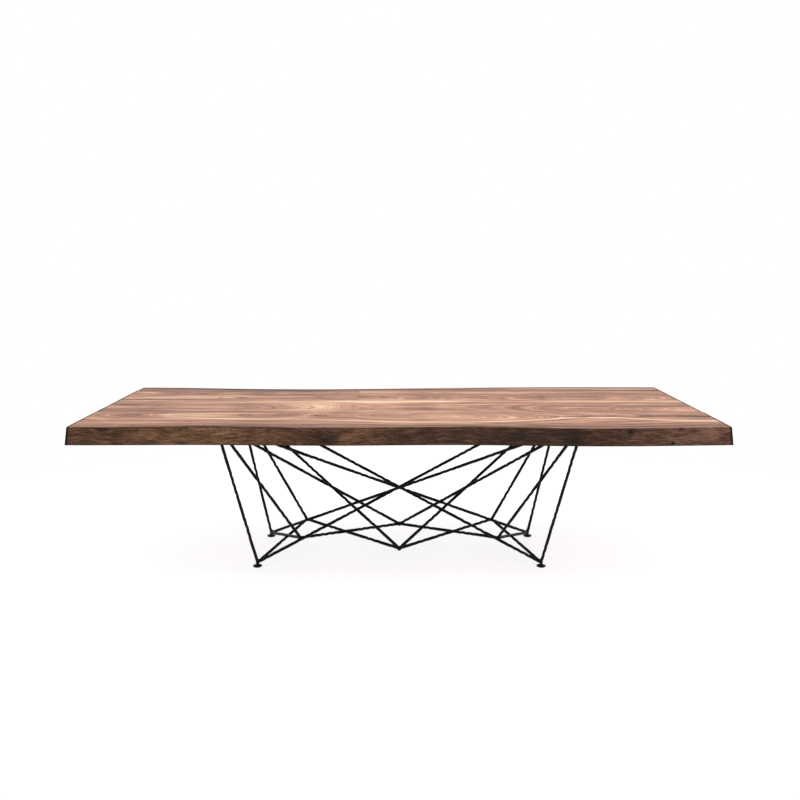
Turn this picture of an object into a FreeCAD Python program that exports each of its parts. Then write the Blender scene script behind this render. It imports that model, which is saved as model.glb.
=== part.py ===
import FreeCAD, Part
import os
import Sketcher
from FreeCAD import Placement, Rotation, Vector

# Dining table: a live-edge plank top on a base of welded round rods with levelling feet.
# Millimetres. X runs along the length, +Y to the rear, +Z up. The origin is on the floor,
# under the middle of the top.
SIZES = {
    # Top as a whole
    "length": 3000.0,
    "depth": 1200.0,
    "height": 750.0,
    "edge_thickness": 80.0,
    "slab_thickness": 30.0,
    "end_slope": 2.0,
    "edge_wave": 75.0,
    "edge_arris": 9.0,
    # Boards across the depth, where the rear planks take what the others leave
    "front_edge_width": 142.0,
    "front_plank_width": 253.0,
    "middle_plank_width": 355.0,
    "rear_edge_width": 132.0,
    "butt_joint": 228.0,
    "end_block_width": 90.0,
    # Joinery inside the top
    "spline_width": 24.0,
    "spline_thickness": 6.0,
    "spline_inset": 120.0,
    "glue_gap": 0.1,
    "dowel_diameter": 10.0,
    "dowel_length": 60.0,
    # Battens under the slab
    "batten_width": 60.0,
    "batten_thickness": 30.0,
    "batten_spacing": 600.0,
    "batten_gap": 4.0,
    "batten_chamfer": 8.0,
    # Wood screws
    "screw_diameter": 5.0,
    "screw_head_diameter": 11.0,
    "screw_head_height": 3.0,
    "screw_bite": 16.0,
    "screw_clearance": 0.25,
    "pilot_clearance": 0.05,
    "pilot_tip_gap": 0.5,
    # Mounting plates between base and top
    "plate_length": 140.0,
    "plate_width": 90.0,
    "plate_thickness": 5.0,
    "plate_corner": 10.0,
    "plate_hole_inset": 15.0,
    # Rods of the base
    "rod_diameter": 12.0,
    "rod_run_on": 40.0,
    "ball_diameter": 15.0,
    "lap_clearance": 0.3,
    "lap_reach": 30.0,
    # Meeting points of the rods
    "foot_x": 693.3,
    "foot_y": 224.0,
    "foot_rise": 4.1,
    "top_x": 884.7,
    "top_y": 300.5,
    "top_rise": 1.8,
    "low_y": 191.7,
    "low_z": 77.7,
    # Levelling feet
    "boss_diameter": 16.0,
    "boss_height": 20.0,
    "thread_diameter": 8.0,
    "thread_clearance": 0.05,
    "thread_depth": 17.0,
    "raise_travel": 2.5,
    "raise_reserve": 0.5,
    "hex_across": 13.0,
    "hex_height": 3.0,
    "hex_gap": 0.3,
    "pad_diameter": 45.0,
    "pad_height": 8.5,
    "pad_rim_height": 4.5,
    "pad_crown_diameter": 28.0,
    "socket_depth": 5.0,
    "glide_diameter": 40.0,
    "glide_thickness": 1.5,
}

# Where the inner meeting point lies along a diagonal rod, and how far it stands off it,
# inward and upward, in rod diameters.
INNER_SHARE = 0.1276
INNER_INSET_SHARE = 0.71
INNER_LIFT_SHARE = 0.58

# The live edges in plan: stations along half the length, and at each how far the edge
# falls back from the full depth, as a share of edge_wave.
STATION_SHARES = (-1.0, -0.89, -0.61, -0.19, 0.18, 0.60, 0.89, 1.0)
WAVE_SHARES = {
    ("front", "top"): (0.50, 0.47, 0.76, 0.23, 0.61, 0.08, 0.41, 0.50),
    ("front", "bottom"): (0.33, 0.32, 0.41, 0.21, 0.39, 0.025, 0.24, 0.36),
    ("rear", "top"): (0.23, 0.29, 0.84, 0.97, 0.44, 0.08, 0.09, 0.11),
    ("rear", "bottom"): (0.13, 0.21, 0.72, 0.85, 0.35, 0.03, 0.05, 0.06),
}

# Screws and dowels across the width of the plank that holds them.
BATTEN_SCREW_SHARES = (0.25, 0.75)
DOWEL_SHARES = (0.25, 0.5, 0.75)

HEX_SIDES = 6
QUARTER_TURN = 90.0
HALF_TURN = 180.0
STRAIGHT_SHARE = 0.001
START_INDEX, END_INDEX = 1, 2
ORIGIN_INDEXES = (-1, 1)
SIDES = {"left": -1, "right": 1}
ENDS = {"front": -1, "rear": 1}
ACROSS = {"left": "right", "right": "left", "front": "rear", "rear": "front"}
CORNERS = [(end, side) for end in ENDS for side in SIDES]
UP = Vector(0, 0, 1)

doc = FreeCAD.newDocument("live_edge_table")
sheet = doc.addObject("Spreadsheet::Sheet", "sizes")
for row, (size_name, size_value) in enumerate(SIZES.items(), start=1):
    sheet.set(f"A{row}", size_name)
    sheet.set(f"B{row}", str(size_value))
    sheet.setAlias(f"B{row}", size_name)
doc.recompute()

pieces = []


def size(name):
    """The value of one cell of the sheet."""
    return float(sheet.get(name))


def bind(thing, **formulas):
    """Binds properties to formulas over the sheet."""
    for prop, formula in formulas.items():
        thing.setExpression(prop, formula)
    return thing


def piece(thing, label):
    """Registers a finished sub-part under the name of its file."""
    thing.Label = label
    pieces.append(thing)
    return thing


def cylinder(name, radius, height, base, direction=UP):
    body = bind(doc.addObject("Part::Cylinder", name), Radius=radius, Height=height)
    body.Placement = Placement(base, Rotation(UP, direction))
    return body


def box(name, length, width, height, corner):
    body = bind(doc.addObject("Part::Box", name), Length=length, Width=width, Height=height)
    body.Placement = Placement(corner, Rotation())
    return body


def cut(name, base, tools):
    """The base with each tool taken out of it in turn."""
    for number, tool in enumerate(tools, start=1):
        result = doc.addObject("Part::Cut", f"{name}_cut_{number}")
        result.Base = base
        result.Tool = tool
        base = result
    return base


def fuse(name, shapes):
    result = doc.addObject("Part::MultiFuse", name)
    result.Shapes = shapes
    return result


def group(name, members):
    """Several separate solids as one object."""
    result = doc.addObject("Part::Compound", name)
    result.Links = members
    return result


# Heights and joints that several pieces share
half_length = size("length") / 2
half_depth = size("depth") / 2
slab_bottom = size("height") - size("slab_thickness")
edge_bottom = size("height") - size("edge_thickness")
plate_bottom = slab_bottom - size("plate_thickness")
joints = [size("front_edge_width") - half_depth]
for width in ("front_plank_width", "middle_plank_width"):
    joints.append(joints[-1] + size(width))
joints.append(half_depth - size("rear_edge_width"))
plank_spans = {"front": joints[0:2], "middle": joints[1:3], "rear": joints[2:4]}
spline_middle = slab_bottom + size("slab_thickness") / 2


def half_length_at(height):
    """Half the length of the top at a height: its ends lean out towards the bottom."""
    return half_length - size("end_slope") * (height - edge_bottom) / size("edge_thickness")


# Screws, and the holes that take them


def screw_row(name, places, bottom, through):
    """Pan-head screws driven up at the places, with their holes in metal or batten and slab."""
    shank = f"sizes.{through} + sizes.screw_bite"
    screws = []
    holes = []
    pilots = []
    for number, place in enumerate(places, start=1):
        foot = Vector(place.x, place.y, bottom)
        head_foot = foot - UP * size("screw_head_height")
        head = cylinder(f"{name}_head_{number}", "sizes.screw_head_diameter / 2",
                        "sizes.screw_head_height", head_foot)
        stalk = cylinder(f"{name}_shank_{number}", "sizes.screw_diameter / 2", shank, foot)
        screws.append(fuse(f"{name}_{number}", [head, stalk]))
        holes.append(cylinder(f"{name}_hole_{number}",
                              "sizes.screw_diameter / 2 + sizes.screw_clearance",
                              f"sizes.{through}", foot))
        pilots.append(cylinder(f"{name}_pilot_{number}",
                               "sizes.screw_diameter / 2 + sizes.pilot_clearance",
                               f"{shank} + sizes.pilot_tip_gap", foot))
    piece(group(f"{name}_group", screws), name)
    return group(f"{name}_holes", holes), group(f"{name}_pilots", pilots)


plate_screw_x = size("plate_length") / 2 - size("plate_hole_inset")
plate_screw_y = size("plate_width") / 2 - size("plate_hole_inset")
plate_centres = {
    (end, side): Vector(SIDES[side] * size("top_x"), ENDS[end] * size("top_y"), plate_bottom)
    for end, side in CORNERS
}
plate_screw_places = [
    centre + Vector(along * plate_screw_x, over * plate_screw_y, 0)
    for centre in plate_centres.values()
    for along in SIDES.values()
    for over in ENDS.values()
]
batten_xs = {
    "left": -size("batten_spacing"),
    "middle": 0,
    "right": size("batten_spacing"),
}
batten_screw_places = [
    Vector(x, low + share * (high - low), 0)
    for x in batten_xs.values()
    for low, high in plank_spans.values()
    for share in BATTEN_SCREW_SHARES
]
batten_bottom = slab_bottom - size("batten_thickness")
plate_holes, plate_pilots = screw_row(
    "plate_screws", plate_screw_places, plate_bottom, "plate_thickness")
batten_holes, batten_pilots = screw_row(
    "batten_screws", batten_screw_places, batten_bottom, "batten_thickness")


# Splines along the plank joints and dowels at the butt joint


def joint_strip(name, joint, room):
    """A strip along one joint, with some room all round it: none for the spline itself."""
    corner = Vector(size("spline_inset") - half_length,
                    joint - size("spline_width") / 2,
                    spline_middle - size("spline_thickness") / 2)
    spare = room * size("glue_gap")
    both = f"{2 * room} * sizes.glue_gap"
    return box(name, f"sizes.length - 2 * sizes.spline_inset + {both}",
               f"sizes.spline_width + {both}", f"sizes.spline_thickness + {both}",
               corner - Vector(spare, spare, spare))


def dowel_row(name, room):
    """Dowels through the butt joint, lying along X."""
    reach = size("dowel_length") / 2 + room * size("glue_gap")
    low, high = plank_spans["rear"]
    return [
        cylinder(f"{name}_{number}",
                 f"sizes.dowel_diameter / 2 + {room} * sizes.glue_gap",
                 f"sizes.dowel_length + {2 * room} * sizes.glue_gap",
                 Vector(-size("butt_joint") - reach, low + share * (high - low), spline_middle),
                 Vector(1, 0, 0))
        for number, share in enumerate(DOWEL_SHARES, start=1)
    ]


splines = [joint_strip(f"spline_{n}", joint, 0) for n, joint in enumerate(joints, start=1)]
grooves = [joint_strip(f"groove_{n}", joint, 1) for n, joint in enumerate(joints, start=1)]
piece(group("spline_group", splines), "joint_splines")
piece(group("dowel_group", dowel_row("dowel", 0)), "butt_dowels")
groove_group = group("grooves", grooves)
dowel_holes = group("dowel_holes", dowel_row("dowel_hole", 1))


# Planks and end blocks: blocks whose outer end leans out towards the bottom


def leaning_block(name, span, bottom, height, low_ends, high_ends):
    """A block across the span in Y whose ends in X differ between its bottom and top."""
    block = doc.addObject("Part::Wedge", name)
    block.Xmin, block.Xmax = low_ends
    block.X2min, block.X2max = high_ends
    block.Ymin = 0
    block.setExpression("Ymax", height)
    # The wedge tapers along its own Y, which is stood upright, so its Z points to -Y.
    block.Zmin, block.Zmax = -span[1], -span[0]
    block.Z2min, block.Z2max = -span[1], -span[0]
    block.Placement = Placement(Vector(0, 0, bottom), Rotation(Vector(1, 0, 0), QUARTER_TURN))
    return block


def plank(label, span, left_butt=None, right_butt=None):
    """A slab plank from end to end, or up to a butt joint on one side."""
    low, high = half_length_at(slab_bottom), half_length_at(size("height"))
    low_ends = (-low if left_butt is None else left_butt,
                low if right_butt is None else right_butt)
    high_ends = (-high if left_butt is None else left_butt,
                 high if right_butt is None else right_butt)
    blank = leaning_block(f"{label}_blank", span, slab_bottom, "sizes.slab_thickness",
                          low_ends, high_ends)
    tools = [groove_group, plate_pilots, batten_pilots]
    if left_butt is not None or right_butt is not None:
        tools.append(dowel_holes)
    piece(cut(label, blank, tools), label)


plank("front_plank", plank_spans["front"])
plank("middle_plank", plank_spans["middle"])
plank("rear_left_plank", plank_spans["rear"], right_butt=-size("butt_joint"))
plank("rear_right_plank", plank_spans["rear"], left_butt=-size("butt_joint"))

for side, sign in SIDES.items():
    outer_low = sign * half_length_at(edge_bottom)
    outer_high = sign * half_length_at(slab_bottom)
    inner = sign * (half_length - size("end_block_width"))
    end_block = leaning_block(f"{side}_end_block_blank", (joints[0], joints[-1]), edge_bottom,
                              "sizes.edge_thickness - sizes.slab_thickness",
                              sorted((outer_low, inner)), sorted((outer_high, inner)))
    piece(end_block, f"{side}_end_block")


# Edge boards: the live edge is a wavy ruled face between curves at three heights


def edge_outline(end, level, height, inset):
    """The board's outline at one height: a wavy outer edge and a straight inner one."""
    sign = ENDS[end]
    reach = half_length_at(height)
    outer = [
        Vector(station * reach, sign * (half_depth - wave * size("edge_wave") - inset), height)
        for station, wave in zip(STATION_SHARES, WAVE_SHARES[end, level])
    ]
    inner_y = joints[0] if end == "front" else joints[-1]
    inner_left = Vector(outer[0].x, inner_y, height)
    inner_right = Vector(outer[-1].x, inner_y, height)
    curve = Part.BSplineCurve()
    curve.interpolate(outer)
    return Part.Wire([
        curve.toShape(),
        Part.LineSegment(outer[-1], inner_right).toShape(),
        Part.LineSegment(inner_right, inner_left).toShape(),
        Part.LineSegment(inner_left, outer[0]).toShape(),
    ])


def edge_board(end):
    shoulder = size("height") - size("edge_arris")
    outlines = [
        edge_outline(end, "bottom", edge_bottom, 0),
        edge_outline(end, "top", shoulder, 0),
        edge_outline(end, "top", size("height"), size("edge_arris")),
    ]
    board = doc.addObject("Part::Feature", f"{end}_edge_board_blank")
    board.Shape = Part.makeLoft(outlines, True, True)
    piece(cut(f"{end}_edge_board", board, [groove_group]), f"{end}_edge_board")


for end in ENDS:
    edge_board(end)


# Battens and mounting plates: sketched rectangles, padded, with dressed edges


def padded_rectangle(name, length, width, thickness):
    """A body with a centred rectangle in its XY plane, padded upward."""
    body = doc.addObject("PartDesign::Body", f"{name}_body")
    sketch = body.newObject("Sketcher::SketchObject", f"{name}_outline")
    planes = {feature.Role: feature for feature in body.Origin.OriginFeatures}
    sketch.AttachmentSupport = (planes["XY_Plane"], [""])
    sketch.MapMode = "FlatFace"
    half_x, half_y = sheet.evalExpression(length) / 2, sheet.evalExpression(width) / 2
    corners = [Vector(-half_x, -half_y, 0), Vector(half_x, -half_y, 0),
               Vector(half_x, half_y, 0), Vector(-half_x, half_y, 0)]
    near, right, far, left = [
        sketch.addGeometry(Part.LineSegment(start, stop), False)
        for start, stop in zip(corners, corners[1:] + corners[:1])
    ]
    for line, following in ((near, right), (right, far), (far, left), (left, near)):
        sketch.addConstraint(
            Sketcher.Constraint("Coincident", line, END_INDEX, following, START_INDEX))
    for line in (near, far):
        sketch.addConstraint(Sketcher.Constraint("Horizontal", line))
    for line in (right, left):
        sketch.addConstraint(Sketcher.Constraint("Vertical", line))
    sketch.addConstraint(
        Sketcher.Constraint("Symmetric", near, START_INDEX, right, END_INDEX, *ORIGIN_INDEXES))
    for line, value, formula in ((near, 2 * half_x, length), (right, 2 * half_y, width)):
        number = sketch.addConstraint(
            Sketcher.Constraint("Distance", line, START_INDEX, line, END_INDEX, value))
        sketch.setExpression(f"Constraints[{number}]", formula)
    pad = body.newObject("PartDesign::Pad", f"{name}_pad")
    pad.Profile = sketch
    pad.setExpression("Length", thickness)
    doc.recompute()
    return body, pad


def edges_along(shape, direction, chosen=lambda edge: True):
    """Names of the straight edges that run along a direction."""
    names = []
    for number, edge in enumerate(shape.Edges, start=1):
        run = edge.Vertexes[-1].Point - edge.Vertexes[0].Point
        if run.cross(direction).Length < run.Length * STRAIGHT_SHARE and chosen(edge):
            names.append(f"Edge{number}")
    return names


for place, x in batten_xs.items():
    name = f"{place}_cross_batten"
    body, pad = padded_rectangle(
        name, "sizes.batten_width",
        "sizes.depth - sizes.front_edge_width - sizes.rear_edge_width - 2 * sizes.batten_gap",
        "sizes.batten_thickness")
    chamfer = body.newObject("PartDesign::Chamfer", f"{name}_chamfer")
    lower_ends = edges_along(pad.Shape, Vector(1, 0, 0),
                             lambda edge: edge.CenterOfMass.z < size("batten_thickness") / 2)
    chamfer.Base = (pad, lower_ends)
    chamfer.setExpression("Size", "sizes.batten_chamfer")
    body.Placement = Placement(Vector(x, (joints[0] + joints[-1]) / 2, batten_bottom), Rotation())
    piece(cut(f"{name}_drilled", body, [batten_holes]), name)

for (end, side), centre in plate_centres.items():
    name = f"mount_plate_{end}_{side}"
    body, pad = padded_rectangle(name, "sizes.plate_length", "sizes.plate_width",
                                 "sizes.plate_thickness")
    fillet = body.newObject("PartDesign::Fillet", f"{name}_fillet")
    fillet.Base = (pad, edges_along(pad.Shape, UP))
    fillet.setExpression("Radius", "sizes.plate_corner")
    body.Placement = Placement(centre, Rotation())
    piece(cut(f"{name}_drilled", body, [plate_holes]), name)


# Meeting points of the rods, as a skeleton of vertices bound to the sheet


def node(name, x, y, z):
    return bind(doc.addObject("Part::Vertex", name), X=x, Y=y, Z=z)


boss_bottom = "(sizes.glide_thickness + sizes.pad_height + sizes.hex_gap + sizes.hex_height" \
              " + sizes.raise_travel)"
plate_under = "(sizes.height - sizes.slab_thickness - sizes.plate_thickness)"
for end, side in CORNERS:
    along, over = SIDES[side], ENDS[end]
    node(f"foot_{end}_{side}", f"{along} * sizes.foot_x", f"{over} * sizes.foot_y",
         f"{boss_bottom} + sizes.foot_rise")
    node(f"top_{end}_{side}", f"{along} * sizes.top_x", f"{over} * sizes.top_y",
         f"{plate_under} + sizes.top_rise")
for end, side in CORNERS:
    foot, far_top = f"foot_{end}_{side}", f"top_{ACROSS[end]}_{ACROSS[side]}"
    steps = [f"{foot}.{axis} + {INNER_SHARE} * ({far_top}.{axis} - {foot}.{axis})"
             for axis in "XYZ"]
    node(f"inner_{end}_{side}", steps[0],
         f"{steps[1]} + {-ENDS[end] * INNER_INSET_SHARE} * sizes.rod_diameter * 1 mm",
         f"{steps[2]} + {INNER_LIFT_SHARE} * sizes.rod_diameter * 1 mm")
for end, over in ENDS.items():
    node(f"low_{end}", "0 mm", f"{over} * sizes.low_y", "sizes.low_z")
doc.recompute()


def point(name):
    vertex = doc.getObject(name)
    return Vector(vertex.X.Value, vertex.Y.Value, vertex.Z.Value)


# Rods: each is a round bar between two meeting points, cut back to what it is welded to

rods = {}


def rod(name, start, stop, run_on=False, ball=None):
    """A bar from start to stop, run on past the top, or with a welded ball at one end."""
    gaps = [f"({stop}.{axis} - {start}.{axis}) ^ 2" for axis in "XYZ"]
    height = f"sqrt({' + '.join(gaps)})" + (" + sizes.rod_run_on * 1 mm" if run_on else "")
    direction = point(stop) - point(start)
    blank = cylinder(f"{name}_blank", "sizes.rod_diameter / 2", height, point(start), direction)
    if ball:
        end_ball = bind(doc.addObject("Part::Sphere", f"{name}_ball"),
                        Radius="sizes.ball_diameter / 2")
        end_ball.Placement = Placement(point(ball), Rotation())
        blank = fuse(f"{name}_with_ball", [blank, end_ball])
    direction.normalize()
    rods[name] = {"blank": blank, "start": point(start), "direction": direction, "tools": []}


def crossing(one, other):
    """The point where the axes of two rods come nearest each other, taken midway."""
    apart = other["start"] - one["start"]
    lean = one["direction"].dot(other["direction"])
    along_one, along_other = apart.dot(one["direction"]), apart.dot(other["direction"])
    reach_one = (along_one - lean * along_other) / (1 - lean * lean)
    reach_other = (lean * along_one - along_other) / (1 - lean * lean)
    on_one = one["start"] + one["direction"] * reach_one
    on_other = other["start"] + other["direction"] * reach_other
    return (on_one + on_other) / 2


def lap_tool(name, along, middle, side):
    """Half of a slightly larger bar along a rod's axis, on one side of that axis."""
    tool = cylinder(name, "sizes.rod_diameter / 2 + sizes.lap_clearance",
                    "2 * sizes.lap_reach", middle - along * size("lap_reach"))
    tool.Angle = HALF_TURN
    tool.Placement.Rotation = Rotation(side.cross(along), side, along, "ZYX")
    return tool


def half_lap(over, under):
    """Notches two crossing rods to half their depth, so that both run through whole."""
    upper, lower = rods[over], rods[under]
    normal = upper["direction"].cross(lower["direction"])
    if normal.z < 0:
        normal = -normal
    normal.normalize()
    middle = crossing(upper, lower)
    upper["tools"].append(
        lap_tool(f"{over}_lap_{under}", lower["direction"], middle, -normal))
    lower["tools"].append(
        lap_tool(f"{under}_lap_{over}", upper["direction"], middle, normal))


for end, side in CORNERS:
    corner = f"{end}_{side}"
    far_corner = f"{ACROSS[end]}_{ACROSS[side]}"
    rod(f"leg_{corner}", f"foot_{corner}", f"top_{corner}", run_on=True)
    rod(f"diagonal_{corner}", f"foot_{corner}", f"top_{far_corner}")
    rod(f"strut_{corner}", f"inner_{corner}", f"top_{corner}", ball=f"inner_{corner}")
    rod(f"brace_{corner}", f"low_{ACROSS[end]}", f"top_{corner}")
    rod(f"tie_{corner}", f"foot_{corner}", f"inner_{ACROSS[end]}_{side}")
    rod(f"low_rod_{corner}", f"inner_{corner}", f"low_{ACROSS[end]}",
        ball=f"low_{ACROSS[end]}" if side == "left" else None)

above_plates = box("above_plates", "sizes.length", "sizes.depth", "sizes.height",
                   Vector(-half_length, -half_depth, plate_bottom))
boss_zones = {
    corner: cylinder("boss_zone_{}_{}".format(*corner), "sizes.boss_diameter / 2",
                     f"{boss_bottom} + sizes.boss_height",
                     Vector(point("foot_{}_{}".format(*corner)).x,
                            point("foot_{}_{}".format(*corner)).y, 0))
    for corner in CORNERS
}


def blanks(*names):
    return [rods[name]["blank"] for name in names]


for end, side in CORNERS:
    corner, mirrored = f"{end}_{side}", f"{ACROSS[end]}_{side}"
    far_corner = f"{ACROSS[end]}_{ACROSS[side]}"
    boss_zone = boss_zones[end, side]
    rods[f"leg_{corner}"]["tools"] += [boss_zone, above_plates]
    rods[f"diagonal_{corner}"]["tools"] += (
        [boss_zone, above_plates] + blanks(f"leg_{corner}", f"leg_{far_corner}"))
    rods[f"strut_{corner}"]["tools"] += [above_plates] + blanks(
        f"leg_{corner}", f"diagonal_{far_corner}", f"diagonal_{corner}")
    rods[f"brace_{corner}"]["tools"] += [above_plates] + blanks(
        f"leg_{corner}", f"diagonal_{far_corner}", f"strut_{corner}", f"diagonal_{mirrored}",
        f"low_rod_{end}_left", f"low_rod_{end}_right")
    rods[f"tie_{corner}"]["tools"] += [boss_zone] + blanks(
        f"leg_{corner}", f"diagonal_{corner}", f"diagonal_{mirrored}", f"strut_{mirrored}")
    rods[f"low_rod_{corner}"]["tools"] += blanks(
        f"diagonal_{corner}", f"strut_{corner}", f"tie_{mirrored}")
for end in ENDS:
    rods[f"brace_{end}_right"]["tools"] += blanks(f"brace_{end}_left")
    rods[f"low_rod_{end}_right"]["tools"] += blanks(f"low_rod_{end}_left")
for side in SIDES:
    rods[f"diagonal_rear_{side}"]["tools"] += blanks(f"diagonal_front_{ACROSS[side]}")
    half_lap(f"tie_front_{side}", f"tie_rear_{side}")
    half_lap(f"brace_front_{side}", f"brace_rear_{side}")
    half_lap(f"low_rod_front_{side}", f"low_rod_rear_{side}")
    half_lap(f"diagonal_front_{side}", f"diagonal_rear_{side}")
for end in ENDS:
    half_lap(f"diagonal_{end}_left", f"diagonal_{end}_right")

for name, bar in rods.items():
    piece(cut(name, bar["blank"], bar["tools"]), name)


# Levelling feet: a threaded boss, a screwed stem with a hexagon, a pad and its glide

for end, side in CORNERS:
    corner = f"{end}_{side}"
    axis = Vector(point(f"foot_{corner}").x, point(f"foot_{corner}").y, 0)
    pad_top = size("glide_thickness") + size("pad_height")
    hex_bottom = pad_top + size("hex_gap")
    boss_foot = hex_bottom + size("hex_height") + size("raise_travel")
    thread_radius = "sizes.thread_diameter / 2"
    bore_radius = f"{thread_radius} + sizes.thread_clearance"

    boss = cylinder(f"boss_{corner}_blank", "sizes.boss_diameter / 2", "sizes.boss_height",
                    axis + UP * boss_foot)
    bore = cylinder(f"boss_{corner}_bore", bore_radius, "sizes.thread_depth",
                    axis + UP * boss_foot)
    piece(cut(f"boss_{corner}", boss, [bore]), f"foot_boss_{corner}")

    stem_foot = pad_top - size("socket_depth")
    stalk = cylinder(f"stem_{corner}_stalk", thread_radius,
                     "sizes.socket_depth + sizes.hex_gap + sizes.hex_height"
                     " + sizes.thread_depth - sizes.raise_reserve",
                     axis + UP * stem_foot)
    nut = bind(doc.addObject("Part::Prism", f"stem_{corner}_hexagon"),
               Circumradius="sizes.hex_across / sqrt(3)", Height="sizes.hex_height")
    nut.Polygon = HEX_SIDES
    nut.Placement = Placement(axis + UP * hex_bottom, Rotation())
    piece(fuse(f"stem_{corner}", [stalk, nut]), f"foot_stem_{corner}")

    rim = cylinder(f"pad_{corner}_rim", "sizes.pad_diameter / 2", "sizes.pad_rim_height",
                   axis + UP * size("glide_thickness"))
    crown = bind(doc.addObject("Part::Cone", f"pad_{corner}_crown"),
                 Radius1="sizes.pad_diameter / 2", Radius2="sizes.pad_crown_diameter / 2",
                 Height="sizes.pad_height - sizes.pad_rim_height")
    crown.Placement = Placement(
        axis + UP * (size("glide_thickness") + size("pad_rim_height")), Rotation())
    socket = cylinder(f"pad_{corner}_socket", bore_radius,
                      "sizes.socket_depth + sizes.hex_gap", axis + UP * stem_foot)
    piece(cut(f"pad_{corner}", fuse(f"pad_{corner}_solid", [rim, crown]), [socket]),
          f"foot_pad_{corner}")
    piece(cylinder(f"glide_{corner}", "sizes.glide_diameter / 2", "sizes.glide_thickness", axis),
          f"foot_glide_{corner}")


doc.recompute()
for thing in doc.Objects:
    if "Invalid" in thing.State or "Error" in thing.State:
        raise RuntimeError(f"{thing.Label} did not rebuild: {thing.State}")
for thing in pieces:
    if thing.Shape.isNull() or not thing.Shape.isValid():
        raise RuntimeError(f"{thing.Label} has no valid shape")

os.makedirs("parts", exist_ok=True)
for thing in pieces:
    thing.Shape.exportStep(os.path.join("parts", f"{thing.Label}.step"))
    print(f"{thing.Label}: {len(thing.Shape.Solids)} solids, {thing.Shape.Volume:.0f} mm3")
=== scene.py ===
import math
from itertools import combinations

import bmesh
import bpy
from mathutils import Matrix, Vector, geometry, noise
from mathutils.bvhtree import BVHTree


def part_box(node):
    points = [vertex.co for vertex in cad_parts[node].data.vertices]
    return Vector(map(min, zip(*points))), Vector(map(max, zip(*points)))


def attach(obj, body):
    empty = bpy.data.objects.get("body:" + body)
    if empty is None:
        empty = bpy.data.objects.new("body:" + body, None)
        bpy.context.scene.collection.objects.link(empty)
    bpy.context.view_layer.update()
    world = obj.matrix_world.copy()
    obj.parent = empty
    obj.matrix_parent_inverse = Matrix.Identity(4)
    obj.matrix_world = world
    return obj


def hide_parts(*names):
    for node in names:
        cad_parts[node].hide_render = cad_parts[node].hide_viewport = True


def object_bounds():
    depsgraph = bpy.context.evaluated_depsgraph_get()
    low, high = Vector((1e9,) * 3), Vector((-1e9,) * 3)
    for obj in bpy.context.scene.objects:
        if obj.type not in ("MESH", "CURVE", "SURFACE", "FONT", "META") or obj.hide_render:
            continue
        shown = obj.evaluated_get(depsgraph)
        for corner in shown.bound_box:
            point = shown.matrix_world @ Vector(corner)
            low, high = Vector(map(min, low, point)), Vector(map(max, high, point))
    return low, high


# Looks of the dining table: walnut planks with live edges on a base of hammered black rods.
# Metres. X runs along the length to the right, +Y to the rear, +Z up.
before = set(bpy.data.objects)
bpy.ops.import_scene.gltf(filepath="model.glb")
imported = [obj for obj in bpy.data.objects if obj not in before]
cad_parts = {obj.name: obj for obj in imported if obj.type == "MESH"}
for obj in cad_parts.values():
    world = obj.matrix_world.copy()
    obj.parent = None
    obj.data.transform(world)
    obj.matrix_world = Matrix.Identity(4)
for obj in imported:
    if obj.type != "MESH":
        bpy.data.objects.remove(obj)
cad_low, cad_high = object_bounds()

MM = 0.001
ENDS = {"front": -1, "rear": 1}
SIDES = {"left": -1, "right": 1}
ACROSS = {"left": "right", "right": "left", "front": "rear", "rear": "front"}
CORNERS = [(end, side) for end in ENDS for side in SIDES]
FULL_TURN = 2 * math.pi
QUARTER_TURN = math.pi / 2


# Node trees


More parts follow.
